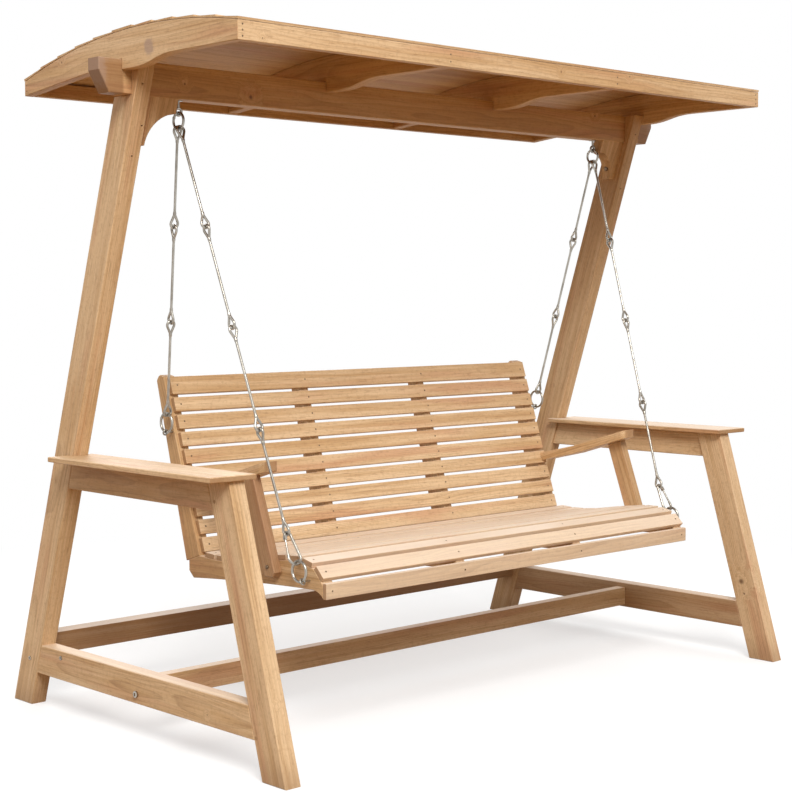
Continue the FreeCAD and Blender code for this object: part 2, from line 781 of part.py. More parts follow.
for name, side in SIDES:
    arch_middle = (half_frame + s.arch_thickness / 2) * side
    rib_middle = s.rib_spacing / 2 * side
    spots = [(arch_middle, roof_front, arch_front_bottom + fascia_rise * share, (0, -1, 0))
             for share in ARCH_NAIL_SHARES]
    spots += [(arch_outer * side, rear_fascia_front + s.fascia_thickness / 2,
               rear_fascia_bottom + rear_fascia_rise * share, (side, 0, 0)) for share in RIB_NAIL_SHARES]
    arch = board(f"{name}_roof_arch_board", "YZ_Plane", *across(side, half_frame, arch_outer),
                 rib_outline(roof_front, s.roof_rear_reach), s.edge_ease)
    mitred = cut(f"{name}_roof_arch_mitred", arch, mitre_wedge(f"{name}_arch", side, True))
    keep(nailed(f"{name}_roof_arch", mitred, spots), f"{name}_roof_arch")
    rib_inner = s.rib_spacing / 2 - s.rib_thickness / 2
    rib = board(f"{name}_roof_rib_board", "YZ_Plane", *across(side, rib_inner, rib_inner + s.rib_thickness),
                rib_outline(fascia_back, rear_fascia_front), s.edge_ease)
    spots = [(rib_middle, roof_front, arch_front_bottom + fascia_rise * share, (0, -1, 0))
             for share in RIB_NAIL_SHARES]
    keep(nailed(f"{name}_roof_rib", rib, spots), f"{name}_roof_rib")

all_fascia_bores = compound("fascia_bores", fascia_bores)
front_fascia = board("front_fascia_board", "XZ_Plane", roof_front, s.fascia_thickness,
                     box_outline(-arch_outer, arch_outer, arch_front_bottom, arch_top(roof_front)),
                     s.edge_ease, "all")
for name, side in SIDES:
    front_fascia = cut(f"{name}_front_fascia_mitred", front_fascia,
                       mitre_wedge(f"{name}_fascia", side, False))
keep(cut("front_fascia_cut", front_fascia, all_fascia_bores), "front_fascia")
rear_fascia = board("rear_fascia_board", "XZ_Plane", rear_fascia_front, s.fascia_thickness,
                    box_outline(-half_frame, half_frame, rear_fascia_bottom, arch_top(s.roof_rear_reach)),
                    s.edge_ease, "all")
keep(cut("rear_fascia_cut", rear_fascia, all_fascia_bores), "rear_fascia")
keep(compound("fascia_nail_set", fascia_nails), "fascia_nails")

# Each roof slat lies flat on the arches. It tapers to its upper edge, and its thick lower edge
# is rebated over the upper edge of the next slat down. The crest slat laps both of its neighbours.
front_angle = math.asin((s.roof_front_reach - s.arch_crown_reach).value / s.arch_radius.value)
rear_angle = math.asin((s.roof_rear_reach + s.arch_crown_reach).value / s.arch_radius.value)
slat_turn = (front_angle + rear_angle) / ROOF_SLATS
roof_slat_pitch = s.arch_radius.value * 2 * math.sin(slat_turn / 2)
pitch_bow = roof_slat_pitch ** 2 / (8 * s.arch_radius.value)
slat_lift = pitch_bow + s.fit_gap.value


def arc_point(angle):
    """A point just above the arches' top edge, at an angle to the rear of the crown."""
    radius = s.arch_radius.value + slat_lift
    return FreeCAD.Vector(0, -s.arch_crown_reach.value + radius * math.sin(angle),
                          arc_centre_height.value + radius * math.cos(angle))


def slat_place(rear, front):
    """A place whose -Y axis runs from one point to another, with Z above."""
    run = front - rear
    return FreeCAD.Placement(rear, FreeCAD.Rotation(FreeCAD.Vector(1, 0, 0),
                                                    math.degrees(math.atan2(-run.z, -run.y))))


def slat_blank(label, length, width, thickness, rounding):
    """A slat with its rear lower edge on the X axis, reaching forward."""
    return board(f"{label}_blank", "YZ_Plane", -length / 2, length,
                 box_outline(-width, 0, 0, thickness), rounding, "all")


roof_length = arch_outer * 2
pitch = as_size(roof_slat_pitch)
roof_slat_width = pitch + s.roof_slat_lap
roof_slat_taper = s.roof_slat_thick - s.roof_slat_thin
rebate_height = s.roof_slat_thin + roof_slat_taper * s.roof_slat_lap / roof_slat_width + s.fit_gap
rebate_depth = s.roof_slat_lap + s.fit_gap * 2
taper_angle = math.degrees(math.atan2(roof_slat_taper.value, roof_slat_width.value))


def rebated(edge, inward):
    """The stepped underside at a slat's lower edge, from the edge inward."""
    return [(edge, rebate_height), (edge + inward * rebate_depth, rebate_height),
            (edge + inward * rebate_depth, 0)]


def roof_slat(label, outline):
    return board(f"{label}_blank", "YZ_Plane", -arch_outer, roof_length, outline)


front_high, rear_high = (0, s.roof_slat_thin), (-roof_slat_width, s.roof_slat_thin)
front_low, rear_low = (-roof_slat_width, s.roof_slat_thick), (0, s.roof_slat_thick)
front_edge_slat = roof_slat("front_edge_slat", [(-roof_slat_width, 0), (0, 0), front_high, front_low])
front_lapped_slat = roof_slat("front_lapped_slat", [
    front_low, *rebated(-roof_slat_width, 1), (0, 0), front_high])
crest_slat = roof_slat("crest_slat", [
    (-pitch, s.roof_slat_thick), *rebated(-pitch, 1), *reversed(rebated(as_size(0), -1)), rear_low])
rear_lapped_slat = roof_slat("rear_lapped_slat", [
    rear_low, *rebated(as_size(0), -1), (-roof_slat_width, 0), rear_high])
rear_edge_slat = roof_slat("rear_edge_slat", [(0, 0), rear_low, rear_high, (-roof_slat_width, 0)])
crest = ROOF_SLATS // 2
middle_rise = (s.roof_slat_thick + s.roof_slat_thin) / 2


def roof_slat_rows():
    """Blank, place, width and lean of every roof slat, from the front of the roof to the rear."""
    rows = []
    for number in range(ROOF_SLATS):
        front, rear = (arc_point(-front_angle + slat_turn * (number + step)) for step in (0, 1))
        way = (rear - front).normalize()
        if number < crest:
            blank = front_lapped_slat if number else front_edge_slat
            rear = front + way * roof_slat_width.value
            rows.append((blank, slat_place(rear, front), roof_slat_width, middle_rise, -taper_angle))
        elif number == crest:
            rows.append((crest_slat, slat_place(rear, front), pitch, s.roof_slat_thick, 0))
        else:
            blank = rear_lapped_slat if number < ROOF_SLATS - 1 else rear_edge_slat
            front = rear - way * roof_slat_width.value
            rows.append((blank, slat_place(rear, front), roof_slat_width, middle_rise, taper_angle))
    return rows


screw_head = cylinder("roof_screw_head", s.screw_head_radius, s.screw_head_height / 2, FreeCAD.Placement())
roof_slats = []
roof_screws = []
support_places = (-half_frame - s.arch_thickness / 2, -s.rib_spacing / 2, s.rib_spacing / 2,
                  half_frame + s.arch_thickness / 2)
for number, (blank, place, width, rise, lean) in enumerate(roof_slat_rows()):
    roof_slats.append(copy_at(f"roof_slat{number}", blank, place))
    for index, x in enumerate(support_places):
        spot = place.multiply(FreeCAD.Placement(vector(x, -width / 2, rise),
                                                FreeCAD.Rotation(FreeCAD.Vector(1, 0, 0), lean)))
        roof_screws.append(copy_at(f"roof_screw{number}_{index}", screw_head, spot))
keep(compound("roof_slat_row", roof_slats), "roof_slats")
keep(compound("roof_screw_rows", roof_screws), "roof_screws")
keep(compound("frame_bolt_set", hardware), "frame_bolts")
keep(compound("leg_plug_set", plugs), "leg_plugs")

# Bench: four shaped seat rails and four back stiles under slats, with an arm at each end
half_bench = s.bench_width / 2
rake_sine, rake_cosine = sine(s.back_rake_angle), cosine(s.back_rake_angle)


def back_point(along, behind):
    """A point up the back's front surface and behind it."""
    return (s.back_foot_y + along * rake_sine + behind * rake_cosine,
            s.back_foot_height + along * rake_cosine - behind * rake_sine)


def seat_line():
    """Underside of the seat slats from the rear: one straight flat for each slat."""
    y = s.seat_rear_y + (s.seat_slat_pitch - s.slat_width) / 2
    height = s.seat_rear_height - s.slat_thickness
    corners = [(y, height)]
    for rise in SEAT_SLAT_RISE_ANGLES:
        turn = math.radians(rise)
        y = y - s.seat_slat_pitch * round(math.cos(turn), 6)
        height = height + s.seat_slat_pitch * round(math.sin(turn), 6)
        corners.append((y, height))
    return corners


seat_corners = seat_line()
# The flat under the corner slat runs back up to meet the flat under the last top slat
corner_slope = tangent(s.seat_corner_tilt_angle)
last_y, last_height = seat_corners[-2]
last_slope = round(math.tan(math.radians(SEAT_SLAT_RISE_ANGLES[-1])), 6)
corner_y = (last_height + last_slope * last_y - s.seat_corner_slat_low
            - corner_slope * s.seat_corner_slat_front) / (corner_slope + last_slope)


def corner_flat(y):
    """Height of the flat under the corner slat."""
    return s.seat_corner_slat_low + corner_slope * (y + s.seat_corner_slat_front)


seat_front = -s.seat_front_slat_setback
stile_foot = back_point(-s.stile_foot_drop, s.slat_thickness)
foot_slope = (stile_foot[1] - s.seat_rail_rear_high) / (s.seat_rail_rear_reach - stile_foot[0])
seat_rail_outline = [
    (seat_front, s.seat_rail_nose_height),
    (-s.seat_rail_knee, s.seat_rail_knee_height, -s.seat_rail_nose_radius),
    (s.seat_rail_rear_reach - s.seat_rail_clip_run, s.seat_rail_rear_low - s.seat_rail_clip_rise,
     -s.seat_rail_belly_radius),
    (s.seat_rail_rear_reach, s.seat_rail_rear_low),
    (s.seat_rail_rear_reach, s.seat_rail_rear_high),
    stile_foot,
    *seat_corners[:-1],
    (corner_y, corner_flat(corner_y)),
    (seat_front, corner_flat(seat_front))]

back_top = BACK_SLATS * s.back_slat_pitch - s.back_slat_pitch + s.back_top_slat_width - s.back_slat_drop
stile_outline = [
    stile_foot,
    (stile_foot[0] + s.stile_foot_run, stile_foot[1] - foot_slope * s.stile_foot_run),
    back_point(back_top + s.stile_top_rise, s.slat_thickness + s.stile_top_depth),
    (*back_point(back_top + s.stile_crown_rise, s.slat_thickness + s.stile_crown_depth),
     s.stile_crown_radius),
    back_point(back_top + s.stile_shoulder_rise, s.slat_thickness)]
inner_stile_outline = [
    *stile_outline[:2],
    back_point(back_top - s.inner_stile_drop, s.slat_thickness + s.stile_top_depth),
    back_point(back_top - s.inner_stile_drop, s.slat_thickness)]


def point(corner, x=0):
    return vector(x, corner[0], corner[1])


def seat_slat_places():
    """Rear lower edge and tilt of every seat slat, from the rear to the front face."""
    places = []
    for start, finish in zip(seat_corners, seat_corners[1:]):
        start, finish = point(start), point(finish)
        along = (finish - start).normalize()
        spare = ((finish - start).Length - s.slat_width.value) / 2
        rear = start + along * spare
        places.append(slat_place(rear, rear + along * s.slat_width.value))
    low = vector(0, -s.seat_corner_slat_front, s.seat_corner_slat_low)
    turn = math.radians(s.seat_corner_tilt_angle.value)
    high = low + FreeCAD.Vector(0, math.cos(turn), math.sin(turn)) * s.slat_width.value
    places.append(slat_place(high, low))
    top = vector(0, seat_front, s.seat_front_slat_top)
    places.append(slat_place(top, top - vector(0, 0, s.slat_width)))
    return places


def back_slat_places():
    """Upper rear edge and tilt of every back slat, from the seat up."""
    places = []
    for number in range(BACK_SLATS):
        low = number * s.back_slat_pitch - s.back_slat_drop
        high = back_top if number == BACK_SLATS - 1 else low + s.slat_width
        places.append(slat_place(point(back_point(high, s.slat_thickness)),
                                 point(back_point(low, s.slat_thickness))))
    return places


screw_parts = (
    (-s.screw_sink, s.screw_head_radius, s.screw_head_height),
    (-s.screw_length, s.screw_shank_radius, s.screw_length - s.screw_sink))
bore_parts = (
    (-s.screw_sink, s.screw_head_radius + s.fit_gap, s.screw_length),
    (-s.screw_length - s.fit_gap, s.screw_shank_radius + s.fit_gap, s.screw_length))
screw = stepped("slat_screw", screw_parts, FreeCAD.Placement())
screw_bore = stepped("slat_screw_bore", bore_parts, FreeCAD.Placement())


def drilled_slat(label, length, width, supports):
    blank = slat_blank(label, length, width, s.slat_thickness, s.slat_round)
    bores = [copy_at(f"{label}_bore{number}", screw_bore,
                     FreeCAD.Placement(vector(x, -width / 2, s.slat_thickness), FreeCAD.Rotation()))
             for number, x in enumerate(supports)]
    return cut(f"{label}_drilled", blank, compound(f"{label}_bores", bores))


def support_lines(length):
    end = length / 2 - s.screw_inset
    inner = s.inner_rail_spacing / 2
    return (-end, -inner, inner, end)


def slat_row(label, places, slats, supports):
    """Lay slats in their places and give the screws and bores that each support line holds."""
    row = [copy_at(f"{label}{number}", slat, place)
           for number, (place, (slat, _)) in enumerate(zip(places, slats))]
    screws, bores = [], []
    for index, x in enumerate(supports):
        line = []
        for number, (place, (_, width)) in enumerate(zip(places, slats)):
            spot = place.multiply(FreeCAD.Placement(vector(x, -width / 2, s.slat_thickness),
                                                    FreeCAD.Rotation()))
            screws.append(copy_at(f"{label}_screw{number}_{index}", screw, spot))
            line.append(copy_at(f"{label}_bore{number}_{index}", screw_bore, spot))
        bores.append(line)
    return compound(f"{label}_row", row), screws, bores


seat_lines = support_lines(s.bench_width)
back_lines = support_lines(s.back_width)
seat_slat = drilled_slat("seat_slat", s.bench_width, s.slat_width, seat_lines)
back_slat = drilled_slat("back_slat", s.back_width, s.slat_width, back_lines)
top_slat = drilled_slat("top_back_slat", s.back_width, s.back_top_slat_width, back_lines)
seat_places = seat_slat_places()
back_places = back_slat_places()
seat_row, seat_screws, seat_bores = slat_row("seat_slat", seat_places,
                                             [(seat_slat, s.slat_width)] * len(seat_places), seat_lines)
back_row, back_screws, back_bores = slat_row(
    "back_slat", back_places,
    [(back_slat, s.slat_width)] * (BACK_SLATS - 1) + [(top_slat, s.back_top_slat_width)], back_lines)
keep(seat_row, "seat_slats")
keep(back_row, "back_slats")
bench_screws = seat_screws + back_screws

# Hanging line: where every ring, rod and hook lies, in millimetres
link = (s.wire + s.link_gap) / 2
eye_height = beam_bottom - s.screw_eye_washer - s.screw_eye_neck - s.screw_eye_radius - s.wire / 2
pivot_height = eye_height - s.screw_eye_radius
top_ring_height = pivot_height + link * 2 - s.top_ring_radius
ring_x = half_bench + s.ring_standoff


def toward(start, finish):
    return (finish - start).normalize()


def in_frame_plane(way):
    return FreeCAD.Vector(0, way.y, way.z).normalize()


class Hanger:
    """Joints of one side's front and rear links, from the beam down to the bench."""

    def __init__(self, side):
        self.outward = FreeCAD.Vector(side, 0, 0)
        self.top_ring = vector(hanger_x * side, hanger_y, top_ring_height)
        self.front_ring = vector(ring_x * side, -s.front_ring_y, s.front_ring_height)
        self.rear_ring = vector(ring_x * side, s.rear_ring_y, s.rear_ring_height)
        self.hook_top = vector(ring_x * side, -s.hook_top_y, s.hook_top_height)
        grip = s.seat_ring_radius.value - link.value
        self.front_way = in_frame_plane(toward(self.front_ring, self.hook_top))
        self.hook_foot = self.front_ring + self.front_way * grip
        self.rear_way = in_frame_plane(toward(self.rear_ring, self.top_ring))
        self.rear_foot = self.rear_ring + self.rear_way * grip
        self.front_start = self.on_top_ring(self.hook_top)
        self.rear_start = self.on_top_ring(self.rear_foot)

    def on_top_ring(self, target):
        way = in_frame_plane(toward(self.top_ring, target))
        return self.top_ring + way * (s.top_ring_radius.value - link.value)

    def hang(self, start, finish, turned):
        """A place at start whose -Z axis points at finish, its X axis outward unless turned."""
        up = toward(finish, start)
        out = self.outward - up * self.outward.dot(up)
        out.normalize()
        side = up.cross(out)
        if turned:
            out, side = side, -out
        turn = FreeCAD.Rotation(out, side, up, "ZXY")
        return FreeCAD.Placement(start, turn)


hangers = {name: Hanger(side) for name, side in SIDES}


def turned_place(z, axis, angle):
    return FreeCAD.Placement(vector(0, 0, z), FreeCAD.Rotation(FreeCAD.Vector(*axis), angle))


def upright_torus(label, ring_radius, wire_radius, z, start_angle, sweep):
    """Part of a ring in the XZ plane, swept upward from an angle to the X axis."""
    place = turned_place(z, (1, 0, 0), 90).multiply(turned_place(0, (0, 0, 1), start_angle))
    return torus(label, ring_radius, wire_radius, place, as_size(sweep))


def leaning_rod(label, radius, start, finish):
    """A round bar between two points of the XZ plane."""
    way = finish - start
    rod = doc.addObject("Part::Cylinder", label)
    bind(rod, Radius=radius)
    rod.Height = way.Length
    rod.Placement = facing(start.x, start.y, start.z, tuple(way))
    return rod


def ball(label, radius, place):
    sphere = doc.addObject("Part::Sphere", label)
    bind(sphere, Radius=radius)
    sphere.Placement = FreeCAD.Placement(place, FreeCAD.Rotation())
    return sphere


def teardrop_eye(label, joint_height, up):
    """An eye bent from the rod: it grips at the joint and closes on the rod, below or above."""
    reach = s.rod_eye_radius.value
    tail = s.rod_eye_length.value - reach
    half_point = math.degrees(math.asin(reach / tail))
    side = 1 if up else -1
    grip = joint_height + side * link.value
    centre = grip - side * reach
    apex = vector(0, 0, grip - side * s.rod_eye_length.value)
    start_angle = -half_point if up else HALF_TURN - half_point
    parts = [upright_torus(f"{label}_bow", s.rod_eye_radius, s.wire / 2, centre, start_angle,
                           HALF_TURN + 2 * half_point)]
    for number, hand in enumerate((-1, 1)):
        turn = math.radians(half_point)
        touch = vector(hand * reach * math.cos(turn), 0, centre - side * reach * math.sin(turn))
        parts.append(leaning_rod(f"{label}_leg{number}", s.wire / 2, touch, apex))
    return parts + [ball(f"{label}_tip", s.wire / 2, apex)]


def rod_blank(label, length):
    """A rod with a teardrop eye at each end, its joints at the origin and at -length."""
    shank = leaning_rod(f"{label}_shank", s.wire / 2,
                        vector(0, 0, link.value - s.rod_eye_length.value),
                        vector(0, 0, s.rod_eye_length.value - length - link.value))
    return joined(label, teardrop_eye(f"{label}_upper", 0, True)
                  + teardrop_eye(f"{label}_lower", -length, False) + [shank])


def rod_string(label, blank, hanger, start, finish, count):
    """Rods end to end, each turned a quarter against the one before it."""
    step = (finish - start) / count
    rods = []
    for number in range(count):
        upper = start + step * number
        rods.append(copy_at(f"{label}{number}", blank, hanger.hang(upper, upper + step, number % 2 == 1)))
    return compound(f"{label}_string", rods)


either = hangers["right"]
front_rod = rod_blank("front_rod", (either.hook_top - either.front_start).Length / FRONT_RODS)
rear_rod = rod_blank("rear_rod", (either.rear_foot - either.rear_start).Length / REAR_RODS)

# Snap hook: a pear-shaped wire with a gate on its outer side, its joints at the origin and below
hook_length = (either.hook_foot - either.hook_top).Length
crown_z = link.value - s.hook_crown_radius.value
bow_z = s.hook_bow_radius.value - hook_length - link.value
side_turn = math.degrees(math.asin((s.hook_bow_radius - s.hook_crown_radius).value / (crown_z - bow_z)))


def hook_side(hand, centre, radius):
    turn = math.radians(side_turn)
    return FreeCAD.Vector(hand * radius * math.cos(turn), 0, centre + radius * math.sin(turn))


gate_top = hook_side(1, crown_z, s.hook_crown_radius.value)
gate_bottom = hook_side(1, bow_z, s.hook_bow_radius.value)
gate_way = toward(gate_top, gate_bottom)
gate_stub = gate_top + gate_way * s.wire.value
gate_pivot = gate_stub + gate_way * (s.gate_wire / 2 + s.fit_gap).value
gate_end = gate_bottom - gate_way * (s.wire + s.fit_gap).value
gate_nose = gate_bottom - gate_way * s.wire.value
ear_near = s.gate_wire / 2 + s.fit_gap

hook_parts = [
    upright_torus("hook_crown", s.hook_crown_radius, s.wire / 2, crown_z, side_turn,
                  HALF_TURN - 2 * side_turn),
    upright_torus("hook_bow", s.hook_bow_radius, s.wire / 2, bow_z, HALF_TURN - side_turn,
                  HALF_TURN + 2 * side_turn),
    leaning_rod("hook_spine", s.wire / 2, hook_side(-1, crown_z, s.hook_crown_radius.value),
                hook_side(-1, bow_z, s.hook_bow_radius.value)),
    leaning_rod("hook_stub", s.wire / 2, gate_top, gate_stub),
    leaning_rod("hook_nose", s.wire / 2, gate_bottom, gate_nose)]
for number, hand in enumerate((-1, 1)):
    ear = doc.addObject("Part::Box", f"hook_ear{number}")
    bind(ear, Length=s.gate_wire, Width=s.gate_ear, Height=s.wire + s.gate_wire)
    lean = math.degrees(math.atan2(gate_way.x, -gate_way.z))
    low = ear_near.value if hand > 0 else -(ear_near + s.gate_ear).value
    base = FreeCAD.Placement(gate_top, FreeCAD.Rotation(FreeCAD.Vector(0, 1, 0), -lean))
    offset = vector(-s.gate_wire / 2, low, -(s.wire + s.gate_wire + s.fit_gap))
    ear.Placement = base.multiply(FreeCAD.Placement(offset, FreeCAD.Rotation()))
    hook_parts.append(ear)
pin_length = (ear_near + s.gate_ear) * 2
hook_parts.append(cylinder("hook_pin", s.gate_pin_radius, pin_length,
                           facing(gate_pivot.x, -(ear_near + s.gate_ear), gate_pivot.z, (0, 1, 0))))
hook_blank = joined("snap_hook_blank", hook_parts)
gate_bar = joined("gate_bar", [
    leaning_rod("gate_wire_bar", s.gate_wire / 2, gate_pivot, gate_end),
    ball("gate_knuckle", s.gate_wire / 2, gate_pivot)])
gate_blank = cut("gate_blank", gate_bar, cylinder(
    "gate_pin_bore", s.gate_pin_radius + s.gate_pin_play, pin_length,
    facing(gate_pivot.x, -(ear_near + s.gate_ear), gate_pivot.z, (0, 1, 0))))

ring_eye_parts = []
ring_eye_bores = {}
for name, side in SIDES:
    hanger = hangers[name]
    # The screw eye in the beam and the ring that turns in it
    screw_eye = joined(f"{name}_screw_eye_blank", [
        torus(f"{name}_screw_eye_bow", s.screw_eye_radius, s.wire / 2,
              FreeCAD.Placement(vector(hanger_x * side, hanger_y, eye_height),
                                FreeCAD.Rotation(FreeCAD.Vector(1, 0, 0), 90))),
        cylinder(f"{name}_screw_eye_washer", s.screw_eye_washer_radius, s.screw_eye_washer,
                 facing(hanger_x * side, hanger_y, beam_bottom - s.screw_eye_washer, (0, 0, 1))),
        cylinder(f"{name}_screw_eye_shank", s.wire / 2,
                 s.screw_eye_depth + s.screw_eye_washer + s.screw_eye_neck + s.wire / 2,
                 facing(hanger_x * side, hanger_y, eye_height + s.screw_eye_radius, (0, 0, 1)))])
    keep(screw_eye, f"{name}_screw_eye")
    sideways = FreeCAD.Rotation(FreeCAD.Vector(0, 1, 0), 90)
    keep(torus(f"{name}_top_ring_wire", s.top_ring_radius, s.wire / 2,
               FreeCAD.Placement(hanger.top_ring, sideways)), f"{name}_top_ring")
    keep(rod_string(f"{name}_front_rod", front_rod, hanger, hanger.front_start, hanger.hook_top,
                    FRONT_RODS), f"{name}_front_rods")
    keep(rod_string(f"{name}_rear_rod", rear_rod, hanger, hanger.rear_start, hanger.rear_foot,
                    REAR_RODS), f"{name}_rear_rods")
    hook_place = hanger.hang(hanger.hook_top, hanger.hook_foot, False)
    keep(copy_at(f"{name}_hook_copy", hook_blank, hook_place), f"{name}_snap_hook")
    keep(copy_at(f"{name}_gate_copy", gate_blank, hook_place), f"{name}_hook_gate")
    pivot = hook_place.multVec(gate_pivot)
    print(f"{name} gate pivot {tuple(round(part, 4) for part in pivot)} way {tuple(hanger.front_way)}")
    for spot, centre, way in (("front", hanger.front_ring, hanger.front_way),
                              ("rear", hanger.rear_ring, hanger.rear_way)):
        keep(torus(f"{name}_{spot}_ring_wire", s.seat_ring_radius, s.wire / 2,
                   FreeCAD.Placement(centre, sideways)), f"{name}_{spot}_ring")
        grip = s.wire / 2 + s.ring_eye_wire / 2 + s.link_gap - s.ring_eye_radius
        middle = centre - way * s.seat_ring_radius.value + way * grip.value
        lean = math.degrees(math.atan2(way.y, way.z))
        turn = FreeCAD.Rotation(FreeCAD.Vector(1, 0, 0), 90 - lean)
        ring_eye_parts.append(joined(f"{name}_{spot}_ring_eye", [
            torus(f"{name}_{spot}_eye_bow", s.ring_eye_radius, s.ring_eye_wire / 2,
                  FreeCAD.Placement(middle, turn)),
            cylinder(f"{name}_{spot}_eye_shank", s.ring_eye_wire * EYE_SHANK_SHARE,
                     s.ring_standoff - s.ring_eye_radius + s.ring_eye_depth,
                     facing((ring_x - s.ring_eye_radius) * side, middle.y, middle.z, (-side, 0, 0)))]))
        ring_eye_bores[name, spot] = cylinder(
            f"{name}_{spot}_eye_bore", s.ring_eye_wire * EYE_SHANK_SHARE + s.fit_gap,
            s.ring_eye_depth + s.fit_gap,
            facing(half_bench * side, middle.y, middle.z, (-side, 0, 0)))
keep(compound("ring_eye_set", ring_eye_parts), "ring_eyes")

# Arms and arm posts
arm_slope, arm_rear_slope = tangent(s.arm_tilt_angle), tangent(s.arm_rear_tilt_angle)
arm_drop = s.arm_thickness / cosine(s.arm_tilt_angle)
arm_bend_height = s.arm_tip_height - arm_slope * (s.arm_tip_reach - s.arm_bend_reach)
rake_slope = tangent(s.back_rake_angle)
post_lean = tangent(s.arm_post_lean_angle)


def arm_end(bend_height):
    """Where a line of the arm's rear stretch meets the front of the back slats."""
    back_y = s.back_foot_y - s.fit_gap - rake_slope * s.back_foot_height
    height = (bend_height - arm_rear_slope * (back_y + s.arm_bend_reach)) / (1 + arm_rear_slope * rake_slope)
    return back_y + rake_slope * height, height


def arm_post_top(depth):
    """Where a line of the arm post meets the underside of the arm, less the seating gap."""
    tip_underside = s.arm_tip_height - arm_drop - s.fit_gap
    start_y = depth - s.arm_post_front_y - post_lean * s.arm_post_front_height
    height = (tip_underside - arm_slope * (start_y + s.arm_tip_reach)) / (1 + arm_slope * post_lean)
    return start_y + post_lean * height, height


def arm_post_edge(depth, height):
    return depth - s.arm_post_front_y + post_lean * (height - s.arm_post_front_height), height


arm_outline = [
    (-s.arm_tip_reach, s.arm_tip_height - arm_drop),
    (-s.arm_bend_reach, arm_bend_height - arm_drop),
    arm_end(arm_bend_height - arm_drop),
    arm_end(arm_bend_height),
    (-s.arm_bend_reach, arm_bend_height),
    (-s.arm_tip_reach, s.arm_tip_height)]
low_height = s.arm_post_bottom
clip_height = s.arm_post_bottom + s.arm_post_clip
low_front = arm_post_edge(0, low_height)[0]
arm_post_outline = [
    (low_front + s.arm_post_clip, low_height),
    (low_front + s.arm_post_depth - s.arm_post_clip, low_height),
    arm_post_edge(s.arm_post_depth, clip_height),
    arm_post_top(s.arm_post_depth),
    arm_post_top(0),
    arm_post_edge(0, clip_height)]
arm_screw_y = arm_post_top(s.arm_post_depth / 2)[0]
arm_screw_height = s.arm_tip_height - arm_slope * (arm_screw_y + s.arm_tip_reach)
arm_bolt_y, arm_bolt_height = arm_post_edge(s.arm_post_depth * ARM_BOLT_ACROSS_SHARE,
                                            s.arm_post_bottom + s.arm_post_clip * ARM_BOLT_CLIP_SHARE)

side_bores = {}
for name, side in SIDES:
    outer_face = half_bench + s.arm_post_thickness
    arm = board(f"{name}_arm_board", "YZ_Plane", *across(side, outer_face - s.arm_width, outer_face),
                arm_outline)
    pad = arm.Tip
    tip_edges = [f"Edge{number}" for number, edge in enumerate(pad.Shape.Edges, start=1)
                 if all(abs(corner.Point.y + s.arm_tip_reach.value) < s.fit_gap.value
                        for corner in edge.Vertexes)
                 and abs(edge.Vertexes[0].Point.x - edge.Vertexes[1].Point.x) < s.fit_gap.value]
    corners = arm.newObject("PartDesign::Fillet", f"{name}_arm_corners")
    corners.Base = (pad, tip_edges)
    bind(corners, Radius=s.arm_corner_radius)
    doc.recompute()
    screw_x = (half_bench + s.arm_post_thickness / 2) * side
    spot = FreeCAD.Placement(vector(screw_x, arm_screw_y, arm_screw_height),
                             FreeCAD.Rotation(FreeCAD.Vector(1, 0, 0), -s.arm_tilt_angle.value))
    long_parts = (screw_parts[0], (-s.arm_screw_length, s.screw_shank_radius,
                                   s.arm_screw_length - s.screw_sink))
    long_bores = (bore_parts[0], (-s.arm_screw_length - s.fit_gap, s.screw_shank_radius + s.fit_gap,
                                  s.arm_screw_length))
    bench_screws.append(stepped(f"{name}_arm_screw", long_parts, spot))
    keep(cut(f"{name}_arm_cut", arm, stepped(f"{name}_arm_bore", long_bores, spot)), f"{name}_arm")

    post = board(f"{name}_arm_post_board", "YZ_Plane", *across(side, half_bench, outer_face),
                 arm_post_outline, s.edge_ease)
    bolt_place = facing(outer_face * side, arm_bolt_y, arm_bolt_height, (-side, 0, 0))
    bolt_bore = cylinder(f"{name}_arm_bolt_bore", bolt_hole,
                         s.arm_post_thickness + s.arm_bolt_reach + s.fit_gap, bolt_place)
    keep(cut(f"{name}_arm_post_cut", post, compound(f"{name}_arm_post_bores", [
        bolt_bore, stepped(f"{name}_arm_post_screw_bore", long_bores, spot)])), f"{name}_arm_post")
    bench_screws.append(stepped(f"{name}_arm_bolt", (
        (-s.arm_bolt_head_height, s.arm_bolt_head_radius, s.arm_bolt_head_height),
        (0, s.bolt_radius, s.arm_post_thickness + s.arm_bolt_reach)), bolt_place))
    side_bores[name, "front"] = [ring_eye_bores[name, "front"], cylinder(
        f"{name}_rail_bolt_bore", bolt_hole,
        s.arm_post_thickness + s.arm_bolt_reach + s.fit_gap, bolt_place)]
    side_bores[name, "rear"] = [ring_eye_bores[name, "rear"]]
keep(compound("bench_screw_set", bench_screws), "bench_screws")

